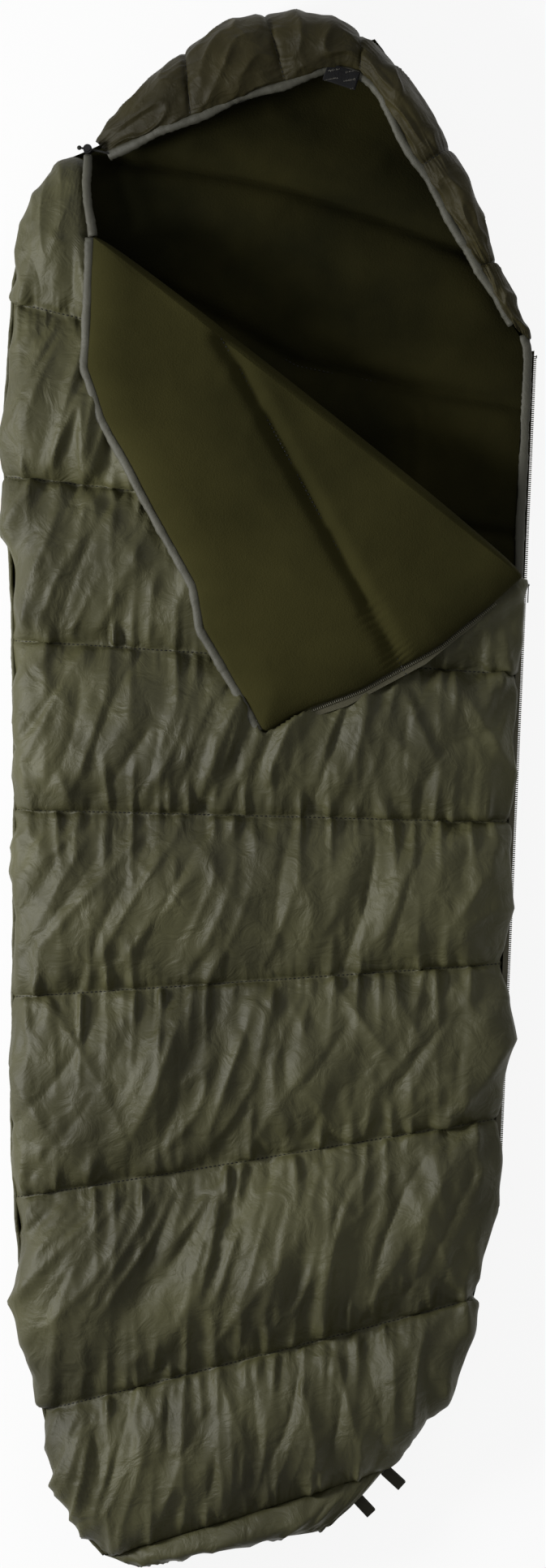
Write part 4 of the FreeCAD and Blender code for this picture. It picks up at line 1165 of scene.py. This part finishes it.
flap_tooth_reach, flap_tooth_thick = 0.0023, 0.0011
flap_teeth_level = 0.1091
teeth_out_away, teeth_out_along = 0.0035, 0.0025
flap_zip_path = [on_flap(share, reach) + fold_away * teeth_out_away + fold_along * teeth_out_along
                 for share, reach in flap_zip_shares[:-1]]
zip_teeth("flap_teeth", [(*spot, flap_teeth_level) for spot in flap_zip_path],
          flap_tooth_reach, flap_tooth_thick, "flap", "zip_coil_flap")


def dressed(material, *nodes):
    """Gives the machined and moulded pieces their finish."""
    for node in nodes:
        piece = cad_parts[node]
        if not piece.material_slots:
            piece.data.materials.append(material)
        for place in piece.material_slots:
            place.material = material


def hard_finish(name, colour, roughness, metallic, grain):
    """A hard surface with faint unevenness in its gloss and a fine grain."""
    material = bpy.data.materials.new(name)
    material.use_nodes = True
    nodes, links = material.node_tree.nodes, material.node_tree.links
    surface = nodes["Principled BSDF"]
    surface.inputs["Metallic"].default_value = metallic
    place = nodes.new("ShaderNodeTexCoord")
    speckle = nodes.new("ShaderNodeTexNoise")
    speckle.inputs["Scale"].default_value = 700
    worn = nodes.new("ShaderNodeValToRGB")
    worn.color_ramp.elements[0].color = (*[0.7 * part for part in colour], 1)
    worn.color_ramp.elements[1].color = (*[1.3 * part for part in colour], 1)
    gloss = nodes.new("ShaderNodeMapRange")
    gloss.inputs["To Min"].default_value = roughness - 0.08
    gloss.inputs["To Max"].default_value = roughness + 0.10
    bump = nodes.new("ShaderNodeBump")
    bump.inputs["Strength"].default_value = grain
    bump.inputs["Distance"].default_value = 0.0002
    links.new(place.outputs["Object"], speckle.inputs["Vector"])
    links.new(speckle.outputs["Fac"], worn.inputs["Fac"])
    links.new(speckle.outputs["Fac"], gloss.inputs["Value"])
    links.new(speckle.outputs["Fac"], bump.inputs["Height"])
    links.new(worn.outputs["Color"], surface.inputs["Base Color"])
    links.new(gloss.outputs["Result"], surface.inputs["Roughness"])
    links.new(bump.outputs["Normal"], surface.inputs["Normal"])
    return material


painted_metal = hard_finish("painted_metal", (0.030, 0.031, 0.020), roughness=0.38,
                            metallic=0.55, grain=0.15)
tape_cloth = cloth("olive_zip_tape", (0.050, 0.046, 0.024), (0.080, 0.074, 0.042),
                   roughness=0.7, weave=0.5)
dressed(painted_metal, "zip_slider", "zip_pull", "zip_top_stop", "zip_bottom_stop")
dressed(tape_cloth, "zip_tape_back", "zip_tape_front", "zip_tape_flap")

# ---------------------------------------------------------------- cord, lock and loops
# The drawcord leaves the hood's hem at its left corner through a barrel lock with a sprung
# button, and is knotted. Two loops of webbing at the foot hang the bag up to air.
black_plastic = hard_finish("black_plastic", (0.010, 0.010, 0.010), roughness=0.42,
                            metallic=0.0, grain=0.25)
spring_steel = hard_finish("spring_steel", (0.42, 0.42, 0.40), roughness=0.28,
                           metallic=1.0, grain=0.05)
braid = cloth("braided_cord", (0.010, 0.010, 0.008), (0.024, 0.024, 0.019), roughness=0.75,
              weave=0.7)
webbing = cloth("olive_webbing", (0.022, 0.021, 0.012), (0.036, 0.034, 0.020), roughness=0.75,
                weave=0.6)
dressed(black_plastic, "cord_lock_body", "cord_lock_button")
dressed(spring_steel, "cord_lock_spring")
dressed(braid, "drawcord", "cord_end_knot")
dressed(webbing, "hang_loops")
dressed(fleece, "foot_lining")

# ---------------------------------------------------------------- the hook patch
# A rectangle of black hook tape is sewn over the hem at the crown, to hold the hood shut. It
# has picked up lint from the fleece.
patch_low, patch_high = (Vector(corner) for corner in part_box("hook_patch"))
patch_middle = (patch_low + patch_high) / 2
patch_turn = math.radians(-18)
patch_long, patch_wide = 0.050, 0.026
hook_height = 0.0007
patch_rise, patch_sag, patch_curl, patch_edge = 0.0012, 0.004, 0.0015, 0.0028
patch_black = cloth("hook_tape_black", (0.0018, 0.0018, 0.0022), (0.0045, 0.0045, 0.0050),
                    roughness=0.9, weave=0.9, nap=1.0)
patch_columns = 51
patch_lines = 27
patch_points = []
for line in range(patch_lines):
    for column in range(patch_columns):
        long_share = column / (patch_columns - 1) - 0.5
        wide_share = line / (patch_lines - 1) - 0.5
        out = long_share * patch_long
        over = wide_share * patch_wide
        edge = min(1, 40 * min(0.5 - abs(long_share), 0.5 - abs(wide_share)))
        hooks = hook_height * ((column + line) % 2) * edge
        sag = patch_sag * (over / patch_wide - 0.2) - 5.0 * over * over
        curl = patch_curl * noise.noise(Vector((out * 50, over * 50, 2)))
        patch_points.append((
            patch_middle.x + out * math.cos(patch_turn) - over * math.sin(patch_turn),
            patch_middle.y + out * math.sin(patch_turn) + over * math.cos(patch_turn),
            patch_high.z + patch_rise + hooks + sag + curl - patch_edge * (1 - edge)))
hook_patch = cloth_object("hook_tape", patch_points, patch_columns, patch_black)
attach(hook_patch, "bag")
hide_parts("hook_patch")

lint = hard_finish("pale_lint", (0.42, 0.40, 0.34), roughness=0.9, metallic=0.0, grain=0.3)
speck_count = 34
speck_half_width = 0.00022
speck_short, speck_longer = 0.0011, 0.0014
lint_points = []
lint_faces = []
for speck in range(speck_count):
    spot = patch_points[(speck * 331 + 97) % len(patch_points)]
    heading = Vector((math.cos(speck * 2.4), math.sin(speck * 2.4), 0.15))
    side = Vector((-heading.y, heading.x, 0)) * speck_half_width
    length = speck_short + speck_longer * ((speck * 7) % 5) / 5
    middle = Vector(spot) + Vector((0, 0, 0.0006))
    base = len(lint_points)
    lint_points += [middle - heading * length, middle + side, middle + heading * length,
                    middle - side, middle + Vector((0, 0, 0.0005)),
                    middle - Vector((0, 0, 0.0003))]
    lint_faces += [[base + corner for corner in face] for face in
                   ((0, 3, 4), (3, 2, 4), (2, 1, 4), (1, 0, 4),
                    (3, 0, 5), (2, 3, 5), (1, 2, 5), (0, 1, 5))]
lint_specks = made("lint", lint_points, lint_faces, lint, smooth=False)
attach(lint_specks, "bag")
